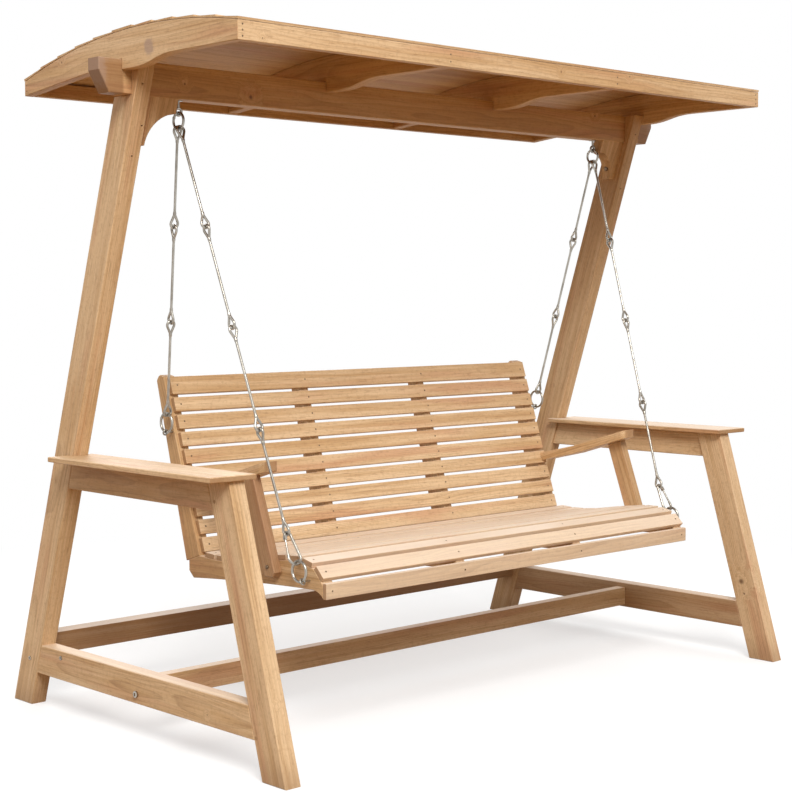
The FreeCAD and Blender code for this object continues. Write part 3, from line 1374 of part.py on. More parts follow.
# Seat rails and back stiles, bored for their screws
inner_half = s.inner_rail_thickness / 2
inner_near = s.inner_rail_spacing / 2 - inner_half
rail_spans = [
    ("left_end", -1, half_bench - s.bench_rail_thickness, half_bench),
    ("left_inner", -1, inner_near, inner_near + s.inner_rail_thickness),
    ("right_inner", 1, inner_near, inner_near + s.inner_rail_thickness),
    ("right_end", 1, half_bench - s.bench_rail_thickness, half_bench)]
for index, (name, side, inner, outer) in enumerate(rail_spans):
    extra_rail, extra_stile = [], []
    if name.endswith("end"):
        hand = name.split("_")[0]
        extra_rail, extra_stile = side_bores[hand, "front"], side_bores[hand, "rear"]
    rail = board(f"{name}_rail_board", "YZ_Plane", *across(side, inner, outer), seat_rail_outline,
                 s.slat_round)
    keep(cut(f"{name}_rail_cut", rail, compound(f"{name}_rail_bores", seat_bores[index] + extra_rail)),
         f"{name}_seat_rail")
    outline = stile_outline if name.endswith("end") else inner_stile_outline
    stile = board(f"{name}_stile_board", "YZ_Plane", *across(side, inner, outer), outline, s.slat_round)
    keep(cut(f"{name}_stile_cut", stile, compound(f"{name}_stile_bores", back_bores[index] + extra_stile)),
         f"{name}_back_stile")

doc.recompute()
print(f"swing pivot {hanger_x.value:.3f} {hanger_y.value:.3f} {pivot_height.value:.3f}")
for thing in doc.Objects:
    if "Invalid" in thing.State or "Error" in thing.State:
        raise RuntimeError(f"{thing.Label} failed: {thing.State}")
for piece in pieces:
    if piece.Shape.isNull() or not piece.Shape.isValid():
        raise RuntimeError(f"{piece.Label} has no sound shape")

os.makedirs("parts", exist_ok=True)
for piece in pieces:
    piece.Shape.exportStep(f"parts/{piece.Label}.step")
print(f"{len(pieces)} sub-parts, {sum(len(piece.Shape.Solids) for piece in pieces)} solids")
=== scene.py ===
# %% [markdown]
# # A canopy swing in teak, dressed for a studio picture
#
# The joinery of this swing was built first, board by board, in a CAD program. This lesson
# puts the looks on it: grain, knots and end grain for every board, bright plated steel for
# the links, and the small turned and bent pieces that a plain solid leaves out.
# All lengths are metres. X runs along the bench, Y from the open front to the back, Z is up.

# %% Load the frame
import math

import bmesh
import bpy
from mathutils import Euler, Matrix, Vector


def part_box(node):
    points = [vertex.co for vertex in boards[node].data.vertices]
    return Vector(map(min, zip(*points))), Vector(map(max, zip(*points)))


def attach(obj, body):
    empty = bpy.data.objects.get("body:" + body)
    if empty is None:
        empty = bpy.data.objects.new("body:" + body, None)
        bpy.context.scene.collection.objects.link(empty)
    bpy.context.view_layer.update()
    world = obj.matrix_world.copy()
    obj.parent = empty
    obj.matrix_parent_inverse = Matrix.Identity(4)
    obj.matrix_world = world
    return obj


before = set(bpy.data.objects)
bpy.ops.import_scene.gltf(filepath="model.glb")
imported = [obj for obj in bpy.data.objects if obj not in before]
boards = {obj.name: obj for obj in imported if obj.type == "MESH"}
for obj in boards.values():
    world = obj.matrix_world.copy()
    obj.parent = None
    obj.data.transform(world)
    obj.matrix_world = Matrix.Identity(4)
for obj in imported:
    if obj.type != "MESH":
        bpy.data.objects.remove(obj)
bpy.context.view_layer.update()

# %% [markdown]
# ## The camera
# The picture that this scene follows was taken from a little above waist height, in front
# of the swing's left end. A long lens keeps the posts nearly parallel. The frame is shifted
# down a little, as in a cropped picture, and the camera is nearly level, so the upright
# lines stay upright.

# %% Camera
PICTURE_WIDTH, PICTURE_HEIGHT = 792, 804
SENSOR_WIDTH = 36
FOCAL_PIXELS = 1657.47
OPTICAL_CENTRE = (394.53, 382.53)
CAMERA_PLACE = (-3.6252, -3.7914, 1.2183)
PITCH, ROLL, YAW = (math.radians(angle) for angle in (-2.96, 0.139, 42.995))
camera_data = bpy.data.cameras.new("studio_camera")
camera_data.sensor_fit = "HORIZONTAL"
camera_data.sensor_width = SENSOR_WIDTH
camera_data.lens = FOCAL_PIXELS / PICTURE_WIDTH * SENSOR_WIDTH
camera_data.shift_x = (PICTURE_WIDTH / 2 - OPTICAL_CENTRE[0]) / PICTURE_WIDTH
camera_data.shift_y = (OPTICAL_CENTRE[1] - PICTURE_HEIGHT / 2) / PICTURE_WIDTH
camera = bpy.data.objects.new("studio_camera", camera_data)
camera.location = CAMERA_PLACE
camera.rotation_euler = (math.pi / 2 + PITCH, ROLL, -YAW)
bpy.context.scene.collection.objects.link(camera)
bpy.context.scene.camera = camera
bpy.context.scene.view_settings.view_transform = "Standard"
print(f"lens {camera_data.lens:.1f} mm")

# %% [markdown]
# ## Writing shader sums in Python
# A material is a net of nodes. Wiring maths by hand hides what it works out, so a small
# class stands for one socket and lets the sums be written as sums. Every other node comes
# from one method: its type, its settings, and what goes into its sockets.


# %% Signals and finishes
class Signal:
    """One output socket of a node, which can be added, multiplied and so on."""

    def __init__(self, finish, socket):
        self.finish, self.socket = finish, socket

    def sum(self, operation, first, second):
        return self.finish.node("ShaderNodeMath", {"operation": operation}, {0: first, 1: second})

    def __add__(self, other):
        return self.sum("ADD", self, other)

    def __radd__(self, other):
        return self.sum("ADD", other, self)

    def __sub__(self, other):
        return self.sum("SUBTRACT", self, other)

    def __rsub__(self, other):
        return self.sum("SUBTRACT", other, self)

    def __mul__(self, other):
        return self.sum("MULTIPLY", self, other)

    def __rmul__(self, other):
        return self.sum("MULTIPLY", other, self)

    def __truediv__(self, other):
        return self.sum("DIVIDE", self, other)

    def __rtruediv__(self, other):
        return self.sum("DIVIDE", other, self)

    def __pow__(self, other):
        return self.sum("POWER", self, other)

    def __rpow__(self, other):
        return self.sum("POWER", other, self)


class Finish:
    """The node tree of a material or of the world, with the shader that it starts with."""

    def __init__(self, owner, shader="Principled BSDF"):
        self.material = owner
        owner.use_nodes = True
        self.tree = owner.node_tree
        self.shader = self.tree.nodes[shader]

    def place(self, space="Object"):
        """Where a point lies, or with "Normal" which way its face looks, in the object's own axes."""
        return self.node("ShaderNodeTexCoord", {}, {}, space)

    def feed(self, target, value):
        if isinstance(value, Signal):
            self.tree.links.new(value.socket, target)
        else:
            target.default_value = value

    def node(self, kind, settings, sockets, output=0):
        made = self.tree.nodes.new(kind)
        for setting, value in settings.items():
            setattr(made, setting, value)
        for name, value in sockets.items():
            self.feed(made.inputs[name], value)
        return Signal(self, made.outputs[output])

    def set(self, **values):
        """Feed the shader's own sockets, named with underscores for spaces."""
        for name, value in values.items():
            self.feed(self.shader.inputs[name.replace("_", " ")], value)


print("signals and finishes ready")

# %% [markdown]
# ## Helpers that most finishes need
# Noise stretched along one direction makes fibres, a smooth step turns a gradual value into
# a soft-edged mask, and a colour mix lays one tone over another.


# %% Masks, noise and mixes
def parts_of(finish, vector):
    """The three numbers of a vector signal."""
    split = finish.node("ShaderNodeSeparateXYZ", {}, {"Vector": vector})
    outputs = split.socket.node.outputs
    return [Signal(finish, outputs[axis]) for axis in "XYZ"]


def vector_of(finish, x, y, z):
    return finish.node("ShaderNodeCombineXYZ", {}, {"X": x, "Y": y, "Z": z})


def noise(finish, vector, scale, detail=2.0, roughness=0.5):
    return finish.node("ShaderNodeTexNoise", {"noise_dimensions": "3D"},
                       {"Vector": vector, "Scale": scale, "Detail": detail, "Roughness": roughness})


def smooth(finish, value, low, high, out_low=0.0, out_high=1.0):
    """A soft step: out_low below low, out_high above high."""
    return finish.node("ShaderNodeMapRange", {"interpolation_type": "SMOOTHSTEP"},
                       {"Value": value, "From Min": low, "From Max": high,
                        "To Min": out_low, "To Max": out_high})


def mix(finish, share, first, second):
    """Lay the second colour over the first by a share."""
    # The colour sockets of a Mix node share their names with its number sockets, so they go by place
    return finish.node("ShaderNodeMix", {"data_type": "RGBA"}, {0: share, 6: first, 7: second}, 2)


def unary(finish, operation, value):
    return finish.node("ShaderNodeMath", {"operation": operation}, {0: value})


def higher(finish, first, second):
    return finish.node("ShaderNodeMath", {"operation": "MAXIMUM"}, {0: first, 1: second})


def lower(finish, first, second):
    return finish.node("ShaderNodeMath", {"operation": "MINIMUM"}, {0: first, 1: second})


def tone(red, green, blue):
    """A colour as a picture shows it, from 0 to 255, as the light that the shader works in."""
    return *(((part / 255 + 0.055) / 1.055) ** 2.4 for part in (red, green, blue)), 1.0


print("mid grey is light of", round(tone(128, 128, 128)[0], 3))

# %% [markdown]
# ## Teak
# Light, oiled teak: straw-coloured early wood, thin browner lines where each year's growth
# ended, long fibres, tiny open pores and now and then a knot. A solid texture is the honest
# way to make it. The tree's rings are tubes round its heart, so one formula gives straight
# lines on one face, arched figure on the next, and rings on the sawn end, and the three
# meet at the edges as they do in a real board. Each board is cut from its own place in the
# tree: its grain direction, the heart's distance and a shift come from its own row.

# %% The colours of the wood
STRAW = tone(223, 192, 152)
HONEY = tone(201, 163, 116)
RUDDY = tone(196, 142, 106)
LATE_LINE = tone(141, 100, 62)
# Sun-bleached wood, which also stands in for the light that falls on faces looking up: painted top light
BLEACHED_AND_LIT_TONE = tone(234, 216, 197)
# A brown used both as painted shade, on boards that stand in the swing's own shadow, and for wood that
# weather and splashed earth really darken
SHADE_AND_WEATHER_BROWN = tone(124, 84, 50)
SAWN_END = tone(168, 130, 94)
KNOT_HEART = tone(92, 58, 32)
WEATHERED = tone(164, 138, 122)
PORE = tone(130, 92, 58)
print("early wood", tuple(round(part, 3) for part in STRAW))


# %% Turn a board's grain onto X
RIM_LEAST, RIM_ROUGH = 0.55, 0.9


def turn_to_grain(grain):
    """The turn that brings a board's grain, along X or in the YZ plane, onto the X axis."""
    if abs(grain[0]) > abs(grain[1]) + abs(grain[2]):
        return Euler((0, 0, 0))
    return Euler((-math.atan2(grain[2], grain[1]), 0, -math.pi / 2))


def board_place(finish, grain, centre, heart, shift):
    """A board's own coordinates: along the grain, and across it from the tree's heart."""
    turn = turn_to_grain(grain)
    start = turn.to_matrix() @ Vector(centre)
    offset = Vector((shift, heart[0], heart[1])) - start
    return finish.node("ShaderNodeMapping", {"vector_type": "POINT"},
                       {"Vector": finish.place(), "Location": offset, "Rotation": turn})


def nearness(finish, spot, size, rough):
    """One at a spot on a board and none at its rim, which a rough signal makes uneven."""
    away = finish.node("ShaderNodeVectorMath", {"operation": "DISTANCE"},
                       {0: finish.place(), 1: Vector(spot)}, "Value")
    return smooth(finish, away * (RIM_LEAST + rough * RIM_ROUGH), 0.0, size, 1.0, 0.0)


print("an upright grain turns by", [round(math.degrees(angle)) for angle in turn_to_grain((0, 0, 1))])

# %% [markdown]
# ### Layers of figure
# The figure of a board is a pile of noises, each stretched along the grain by its own amount:
# a slow drift for rings that wander, long fibres, short flecks, open pores. Each then tints
# the wood where it is strong, as a thin glaze would, so the colour grows wash by wash.

# %% Layers and washes
# Turns per metre of each layer along and across the grain, then its detail and roughness
LAYERS = {
    "drift": (1.3, 7.0, 2.0, 0.5), "ripple": (5.0, 38.0, 2.0, 0.5), "cloud": (2.5, 7.0, 2.0, 0.5),
    "blush": (1.6, 22.0, 2.0, 0.5), "streak": (2.0, 85.0, 3.0, 0.6), "fibre": (8.0, 380.0, 3.0, 0.65),
    "fleck": (22.0, 300.0, 2.0, 0.5), "pore": (55.0, 1300.0, 1.0, 0.5)}
# Where a layer starts to tint the wood, where it does so in full, how strongly, and its tone
WASHES = {
    "blush": (0.5, 0.72, 0.55, RUDDY), "streak": (0.56, 0.74, 0.3, LATE_LINE),
    "fibre": (0.42, 0.75, 0.24, LATE_LINE), "fleck": (0.58, 0.72, 0.38, LATE_LINE),
    "pore": (0.66, 0.74, 0.35, PORE), "patch": (0.48, 0.72, 0.2, LATE_LINE)}
PATCH_TURNS, PATCH_DETAIL, PATCH_ROUGHNESS = 90.0, 3.0, 0.65


class Board(Finish):
    """A finish that knows where in its tree each point of a board lay, and its colour so far."""

    def __init__(self, name, grain, centre, heart, shift):
        super().__init__(bpy.data.materials.new(name))
        self.grain, self.colour = grain, STRAW
        self.along, self.across, self.through = parts_of(
            self, board_place(self, grain, centre, heart, shift))
        self.layers = {"patch": noise(self, self.place(), PATCH_TURNS, PATCH_DETAIL, PATCH_ROUGHNESS)}

    def layer(self, kind):
        """A layer of figure, made when it is first asked for."""
        if kind not in self.layers:
            lengthwise, sideways, detail, roughness = LAYERS[kind]
            stretched = vector_of(self, self.along * lengthwise, self.across * sideways,
                                  self.through * sideways)
            self.layers[kind] = noise(self, stretched, 1.0, detail, roughness)
        return self.layers[kind]

    def mask(self, kind):
        """Where a layer tints the wood."""
        start, full = WASHES[kind][:2]
        return smooth(self, self.layer(kind), start, full)

    def wash(self, share, tint):
        """Lay a tone over the colour so far, by a share."""
        self.colour = mix(self, share, self.colour, tint)

    def wash_layer(self, kind):
        strength, tint = WASHES[kind][2:]
        self.wash(self.mask(kind) * strength, tint)


print(f"{len(LAYERS)} layers, {len(WASHES)} washes")

# %% [markdown]
# ### The tree
# A row of slats is one piece, so each slat is moved to a place of its own in the wood. A knot
# pushes the rings aside and darkens the middle of the bulge. The rings are measured from the
# heart, with some drift, since no trunk is quite round, and each ends in its thin late wood.

# %% Slats, knots and rings
SLAT_STEPS, SLAT_TONE = (9.0, 0.16, 0.11), 0.55
KNOT_REACH, KNOT_SWELL, KNOT_EDGE = 5.0, 2.4, (0.05, 1.0)
RING_DRIFT, RING_RIPPLE, TRUNK_TAPER = 0.034, 0.0016, 0.005
LATE_SHARPNESS, LATE_END = 3.0, 0.92


def pick_tree(board, number):
    """Cut each slat of a row from a place of its own, and return how far its tone is off."""
    draw = board.node("ShaderNodeTexWhiteNoise", {"noise_dimensions": "1D"}, {"W": number(board)},
                      "Color")
    first, second, third = parts_of(board, draw)
    board.along = board.along + first * SLAT_STEPS[0]
    board.across = board.across + second * SLAT_STEPS[1]
    board.through = board.through + third * SLAT_STEPS[2]
    return (first - 0.5) * SLAT_TONE


def grow_knots(board, knots):
    """Swell the wood round each knot, and return how dark the knots are."""
    dark, patches = 0.0, board.layer("patch")
    for *spot, size in knots:
        swell = nearness(board, spot, size * KNOT_REACH, patches) * size * KNOT_SWELL
        board.across, board.through = board.across + swell, board.through + swell
        dark = higher(board, dark, smooth(board, nearness(board, spot, size, patches), *KNOT_EDGE))
    return dark


def grow_rings(board, ring_gap, figure):
    """The distance from the tree's heart, and the late wood at the end of each ring."""
    radius = (unary(board, "SQRT", board.across ** 2 + board.through ** 2)
              + (board.layer("drift") - 0.5) * RING_DRIFT * figure
              + (board.layer("ripple") - 0.5) * RING_RIPPLE + board.along * TRUNK_TAPER)
    ring = unary(board, "FRACT", radius / ring_gap)
    return radius, ring ** LATE_SHARPNESS * smooth(board, ring, LATE_END, 1.0, 1.0, 0.0)


print("slats, knots and rings ready")

# %% [markdown]
# ### The colour
# Good and poor years lie in bands of several rings, which turn the straw to honey. The late
# wood draws its lines over that, stronger in some bands than in others, and then come the
# streaks, fibres, flecks, pores and the dull patches that handling leaves.

# %% Bands, lines and pores
BAND_TURNS, BAND_DETAIL, BAND_ROUGHNESS = (0.9, 42.0, 11.0), 3.0, 0.6
BAND_SHARE, STREAK_SHARE, CLOUD_SHARE, BASE_DEPTH = 0.6, 1.2, 0.8, 0.22
HONEY_BANDS, LATE_BANDS = (0.34, 0.68), (0.3, 0.62)
LATE_STRENGTH, LATE_LEAST, LATE_MOST = 0.5, 0.3, 0.8


def colour_wood(board, radius, late, figure, board_tone):
    """Turn straw to honey by the bands, then lay every finer wash over it."""
    along_turns, *radius_turns = BAND_TURNS
    banded = vector_of(board, board.along * along_turns, *(radius * turns for turns in radius_turns))
    bands = noise(board, banded, 1.0, BAND_DETAIL, BAND_ROUGHNESS)
    depth = (smooth(board, bands, *HONEY_BANDS) * BAND_SHARE
             + (board.layer("streak") - 0.5) * STREAK_SHARE
             + (board.layer("cloud") - 0.5) * CLOUD_SHARE + board_tone + BASE_DEPTH)
    board.wash(smooth(board, depth, 0.0, 1.0), HONEY)
    board.wash_layer("blush")
    late_share = late * smooth(board, bands, *LATE_BANDS, LATE_LEAST, 1.0) * (LATE_STRENGTH * figure)
    board.wash(lower(board, late_share, LATE_MOST), LATE_LINE)
    for kind in ("streak", "fibre", "fleck", "pore", "patch"):
        board.wash_layer(kind)


print(f"late lines at most {LATE_MOST:.0%} of their full tone")

# %% [markdown]
# ### Weather, and painted top light
# The swing stands outdoors. Sun and rain bleach what looks up, and painted top light makes
# those faces paler still. Sawn ends drink more and turn grey, wet earth splashes the feet, and
# the beam's ends, outside the posts, darken and wear.

# %% Sun, rain, painted top light and sawn ends
SPLASH_HEIGHT, SPLASH_STRENGTH, SPLASH_RAGGED = 0.09, 0.36, 0.05
LOOKS_SKYWARD, CLOUDED, CLOUDED_LEAST = (0.5, 0.95), (0.3, 0.7), 0.75
END_SLOPE, END_LATE, END_FIBRE, END_BASE = (0.7, 0.92), 0.5, 0.8, 0.2
STAIN_NOISE, STAIN_CONTRAST, STAIN_SINK = (34.0, 3.0, 0.7), 2.4, 0.5
STAIN_EDGE, STAIN_STRENGTH = (0.05, 0.6), 0.7
HORN_STRENGTH, TIP_START, TIP_END, TIP_RAGGED, TIP_STRENGTH = 0.62, 0.04, 0.062, 0.03, 0.6


def splash(board):
    """Darken a foot near the ground, with a ragged edge."""
    _, _, height = parts_of(board, board.place())
    ragged = height + (board.layer("patch") - 0.5) * SPLASH_RAGGED
    board.wash(smooth(board, ragged, 0.0, SPLASH_HEIGHT, SPLASH_STRENGTH, 0.0), SHADE_AND_WEATHER_BROWN)


def bleach_and_light_tops(board, top_bleach_and_light, sides):
    """Bleach what looks up and paint top light on it, and do the same by the share called sides to what
    does not.
    """
    _, _, up = parts_of(board, board.place("Normal"))
    uneven = smooth(board, board.layer("cloud"), *CLOUDED, CLOUDED_LEAST, 1.0)
    board.wash(smooth(board, up, *LOOKS_SKYWARD, sides, 1.0) * uneven * top_bleach_and_light, BLEACHED_AND_LIT_TONE)


def saw_ends(board, late, ends):
    """Grey the faces that look along the grain, and return where they are."""
    turned = board.node("ShaderNodeVectorMath", {"operation": "DOT_PRODUCT"},
                        {0: board.place("Normal"), 1: Vector(board.grain).normalized()}, "Value")
    sawn = smooth(board, unary(board, "ABSOLUTE", turned), *END_SLOPE)
    rough_end = late * END_LATE + (board.layer("fibre") - 0.5) * END_FIBRE + END_BASE
    board.wash(sawn * ends, mix(board, rough_end, SAWN_END, LATE_LINE))
    return sawn


def stain(board, spot, size):
    """A weathered blot with a broken rim."""
    blots = noise(board, board.place(), *STAIN_NOISE) * STAIN_CONTRAST - STAIN_SINK
    mark = smooth(board, nearness(board, spot, size, blots), *STAIN_EDGE)
    board.wash(mark * STAIN_STRENGTH, WEATHERED)


def wear_horns(board, shift, start, full):
    """Darken the beam outside the posts and grey its tips."""
    reach = unary(board, "ABSOLUTE", board.along - shift)
    board.wash(smooth(board, reach, start, full) * HORN_STRENGTH, SHADE_AND_WEATHER_BROWN)
    ragged = reach + (board.layer("patch") - 0.5) * TIP_RAGGED
    board.wash(smooth(board, ragged, full + TIP_START, full + TIP_END) * TIP_STRENGTH, WEATHERED)


print(f"feet are splashed up to {SPLASH_HEIGHT * 1000:.0f} mm")

# %% A whole board
KNOT_STRENGTH = 0.85
SATIN, FIBRE_ROUGH, END_ROUGH, OIL_GLOSS = 0.5, 0.14, 0.2, 0.45
FIBRE_EDGE = (0.3, 0.7)
FIBRE_RELIEF, LATE_RELIEF, PORE_RELIEF = 0.6, -0.8, -1.2
GRAIN_BUMP, GRAIN_DEPTH = 0.4, 0.0006


def teak(name, grain, centre, heart, shift, ring_gap=0.0042, lift=0.0, figure=1.0, knots=(),
         stains=(), top_bleach_and_light=0.5, sides=0.0, ends=0.7, painted_shade=0.0, horns=None, grimy=False, number=None):
    """A board of teak.

    ring_gap is one year's growth, lift moves the wood from straw to honey, painted_shade lays a
    brown painted shade over a board that stands in the swing's own shadow, and figure
    strengthens the drift of the rings and their lines. Knots and stains are places with a size.
    top_bleach_and_light and sides are shares of sun bleaching with painted top light, ends is the
    share of greyed sawn ends, horns tells where a beam's ends darken, and grimy splashes the
    feet. A number signal, where one node holds many boards, tells them apart.
    """
    board = Board(name, grain, centre, heart, shift)
    board_tone = lift if number is None else pick_tree(board, number) + lift
    knot_dark = grow_knots(board, knots)
    radius, late = grow_rings(board, ring_gap, figure)
    colour_wood(board, radius, late, figure, board_tone)
    # Painted shade: a brown tone laid over a board that stands in the swing's own shadow
    if painted_shade:
        board.wash(painted_shade, SHADE_AND_WEATHER_BROWN)
    if knots:
        board.wash(knot_dark * KNOT_STRENGTH, KNOT_HEART)
    if grimy:
        splash(board)
    # Sun bleaching together with painted top light on the faces that look up
    bleach_and_light_tops(board, top_bleach_and_light, sides)
    sawn = saw_ends(board, late, ends)
    for *spot, size in stains:
        stain(board, spot, size)
    if horns is not None:
        wear_horns(board, shift, *horns)
    fibre = board.layer("fibre")
    relief = fibre * FIBRE_RELIEF + late * LATE_RELIEF + board.mask("pore") * PORE_RELIEF
    bump = board.node("ShaderNodeBump", {}, {"Strength": GRAIN_BUMP, "Distance": GRAIN_DEPTH,
                                             "Height": relief})
    rough = SATIN + smooth(board, fibre, *FIBRE_EDGE) * FIBRE_ROUGH + sawn * END_ROUGH
    board.set(Base_Color=board.colour, Roughness=rough, Normal=bump, Specular_IOR_Level=OIL_GLOSS)
    return board.material


print("teak ready")

# %% [markdown]
# ## Cutting the boards
# Each row says how a board's grain runs, where the heart of its tree lay and how far along
# the trunk it was cut. The posts and legs follow their own lean, rails and shelves run from
# front to back, and whatever spans the swing runs along X.

# %% Where every board was cut
ACROSS_SWING = (1, 0, 0)
FRONT_TO_BACK = (0, 1, 0)
POST_LEAN = (0, -0.3275, 1)
LEG_LEAN = (0, 0.2958, 1)
ARM_FALL = (0, 1, -0.298)
BACK_RAKE = (0, 0.332, 1)
ARM_POST_LEAN = (0, 0.359, 1)
# Where a row below darkens a board with a brown share, that is painted shade for a board in the swing's
# own shadow: the stretchers under the seat, the arm posts and the right rear post
CUTS = {
    "left_rear_post": (POST_LEAN, (0.09, 0.02), 1.3, {"grimy": True}),
    "right_rear_post": (POST_LEAN, (-0.08, 0.05), 4.1, {"grimy": True, "painted_shade": 0.12}),
    "left_front_leg": (LEG_LEAN, (0.06, 0.09), 7.7, {
        "lift": -0.12, "grimy": True, "knots": ((-1.045, -0.6, 0.2, 0.004),
                                                (-1.03, -0.36, 0.66, 0.005))}),
    "right_front_leg": (LEG_LEAN, (0.05, -0.06), 2.6, {"lift": -0.45, "grimy": True, "knots": (
        (1.02, -0.5234, 0.2556, 0.016), (1.02, -0.536, 0.215, 0.007), (1.02, -0.39, 0.56, 0.006))}),
    "left_upper_rail": (FRONT_TO_BACK, (0.1, 0.0), 5.2, {"lift": 0.1}),
    "right_upper_rail": (FRONT_TO_BACK, (0.08, 0.03), 6.4, {"lift": 0.1}),
    "left_side_stretcher": (FRONT_TO_BACK, (0.055, 0.015), 3.3, {
        "figure": 1.3, "lift": 0.1, "knots": ((-1.07, -0.33, 0.13, 0.004),)}),
    "right_side_stretcher": (FRONT_TO_BACK, (-0.06, 0.02), 8.2, {"figure": 1.3, "painted_shade": 0.5}),
    "left_side_shelf": (FRONT_TO_BACK, (0.02, 0.06), 0.4, {"figure": 1.5, "top_bleach_and_light": 0.05}),
    "right_side_shelf": (FRONT_TO_BACK, (0.03, 0.05), 9.5, {"lift": -0.1, "figure": 1.4, "top_bleach_and_light": 0.8}),
    "left_beam_bracket": (POST_LEAN, (0.04, 0.08), 2.2, {}),
    "right_beam_bracket": (POST_LEAN, (0.05, 0.07), 5.9, {}),
    "left_roof_arch": (FRONT_TO_BACK, (0.12, 0.03), 1.9, {"figure": 0.9, "knots": (
        (-1.1, 0.2888, 1.8791, 0.005),), "stains": ((-1.1, -0.139, 1.875, 0.04),)}),
    "right_roof_arch": (FRONT_TO_BACK, (0.1, 0.04), 6.1, {}),
    "left_roof_rib": (FRONT_TO_BACK, (0.09, 0.0), 3.8, {"lift": 0.15}),
    "right_roof_rib": (FRONT_TO_BACK, (0.08, 0.02), 7.1, {"lift": 0.15}),
    "middle_stretcher": (ACROSS_SWING, (0.05, 0.04), 2.9, {"lift": 0.1, "painted_shade": 0.1}),
    "rear_stretcher": (ACROSS_SWING, (0.07, 0.05), 6.6, {"lift": 0.15, "painted_shade": 0.7}),
    "roof_beam": (ACROSS_SWING, (0.09, 0.02), 4.4, {"lift": 0.25, "horns": (1.09, 1.1), "knots": (
        (-0.8931, -0.011, 1.8085, 0.006), (-0.6617, -0.011, 1.7905, 0.011),
        (0.8572, -0.011, 1.846, 0.007))}),
    "front_fascia": (ACROSS_SWING, (0.1, 0.04), 8.8, {"lift": -0.05, "knots": (
        (-1.0225, -0.52, 1.8627, 0.004), (0.4182, -0.52, 1.8937, 0.005),
        (0.1, -0.52, 1.880, 0.005))}),
    "rear_fascia": (ACROSS_SWING, (0.08, 0.03), 1.1, {"lift": 0.1}),
    "left_arm": (ARM_FALL, (0.02, 0.06), 5.5, {}),
    "right_arm": (ARM_FALL, (0.03, 0.05), 3.1, {}),
    "left_arm_post": (ARM_POST_LEAN, (0.06, 0.03), 7.3, {"painted_shade": 0.5}),
    "right_arm_post": (ARM_POST_LEAN, (0.07, 0.02), 9.1, {"painted_shade": 0.2}),
    "left_end_seat_rail": (FRONT_TO_BACK, (0.06, 0.04), 4.7, {"lift": 0.2}),
    "right_end_seat_rail": (FRONT_TO_BACK, (0.05, 0.05), 6.9, {"lift": 0.1}),
    "left_inner_seat_rail": (FRONT_TO_BACK, (0.07, 0.02), 2.4, {"lift": 0.1}),
    "right_inner_seat_rail": (FRONT_TO_BACK, (0.04, 0.06), 8.5, {"lift": 0.1}),
    "left_end_back_stile": (BACK_RAKE, (0.06, 0.03), 1.6, {"lift": 0.08}),
    "right_end_back_stile": (BACK_RAKE, (0.05, 0.02), 5.1, {"lift": 0.05}),
    "left_inner_back_stile": (BACK_RAKE, (0.07, 0.04), 3.6, {"lift": 0.1}),
    "right_inner_back_stile": (BACK_RAKE, (0.04, 0.03), 7.9, {"lift": 0.1}),
}


def dress(node, material):
    """Give a CAD node its finish."""
    slots = boards[node].data.materials
    slots.clear()
    slots.append(material)


for node, (grain, heart, shift, details) in CUTS.items():
    low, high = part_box(node)
    dress(node, teak(f"teak_{node}", grain, (low + high) / 2, heart, shift, **details))
print(f"{len(CUTS)} boards cut")

# %% [markdown]
# ## Three rows of slats
# One CAD node holds a whole row of slats, so a slat has to find its own number from where
# it lies: the seat by the distance forward, the back by the distance up its rake, and the
# roof by the angle round the centre of its arc. The number then draws a different tree for
# each slat, which gives the row its lively change of tone from board to board.

# %% Number the slats
SEAT_REAR, SEAT_PITCH, SEAT_FRONT_SLAT_TOP, FRONT_SLAT_STEP = 0.0715, 0.0543, 0.458, 3.0
BACK_FOOT, BACK_PITCH, BACK_ANGLE, BACK_TOP_NUMBER = (0.083, 0.480), 0.053, math.radians(18.37), 9
BACK_OVERHANG = 0.006
ROOF_CENTRE, ROOF_RADIUS, ROOF_SLATS = (-0.1309, -0.1943), 2.1317, 11
ROOF_ANGLES = (math.radians(10.517), math.radians(16.962))
ROOF_LAP_SHARE, ROOF_LAP_HEIGHT = 0.14, 0.0035
# The three rows count from different numbers, so that no two rows draw the same wood
BACK_FIRST, ROOF_CREST = 20.0, 50.0
CLOSE = 0.0001


def seat_number(finish):
    _, y, z = parts_of(finish, finish.place())
    count = unary(finish, "FLOOR", (SEAT_REAR - y) / SEAT_PITCH)
    return count + smooth(finish, z, SEAT_FRONT_SLAT_TOP + CLOSE, SEAT_FRONT_SLAT_TOP,
                          0.0, FRONT_SLAT_STEP)


def back_number(finish):
    _, y, z = parts_of(finish, finish.place())
    up = (y - BACK_FOOT[0]) * math.sin(BACK_ANGLE) + (z - BACK_FOOT[1]) * math.cos(BACK_ANGLE)
    count = unary(finish, "FLOOR", (up + BACK_OVERHANG) / BACK_PITCH)
    return lower(finish, count, BACK_TOP_NUMBER) + BACK_FIRST


def roof_number(finish):
    _, y, z = parts_of(finish, finish.place())
    behind, above = y - ROOF_CENTRE[0], z - ROOF_CENTRE[1]
    angle = finish.node("ShaderNodeMath", {"operation": "ARCTAN2"}, {0: behind, 1: above})
    height = unary(finish, "SQRT", behind ** 2 + above ** 2) - ROOF_RADIUS
    under = smooth(finish, height, ROOF_LAP_HEIGHT, ROOF_LAP_HEIGHT + CLOSE, ROOF_LAP_SHARE, 0.0)
    turn = (ROOF_ANGLES[0] + ROOF_ANGLES[1]) / ROOF_SLATS
    from_crest = angle - (turn * ROOF_SLATS / 2 - ROOF_ANGLES[0])
    steps = unary(finish, "FLOOR", unary(finish, "ABSOLUTE", from_crest) / turn + 0.5 + under)
    return steps * unary(finish, "SIGN", from_crest) + ROOF_CREST


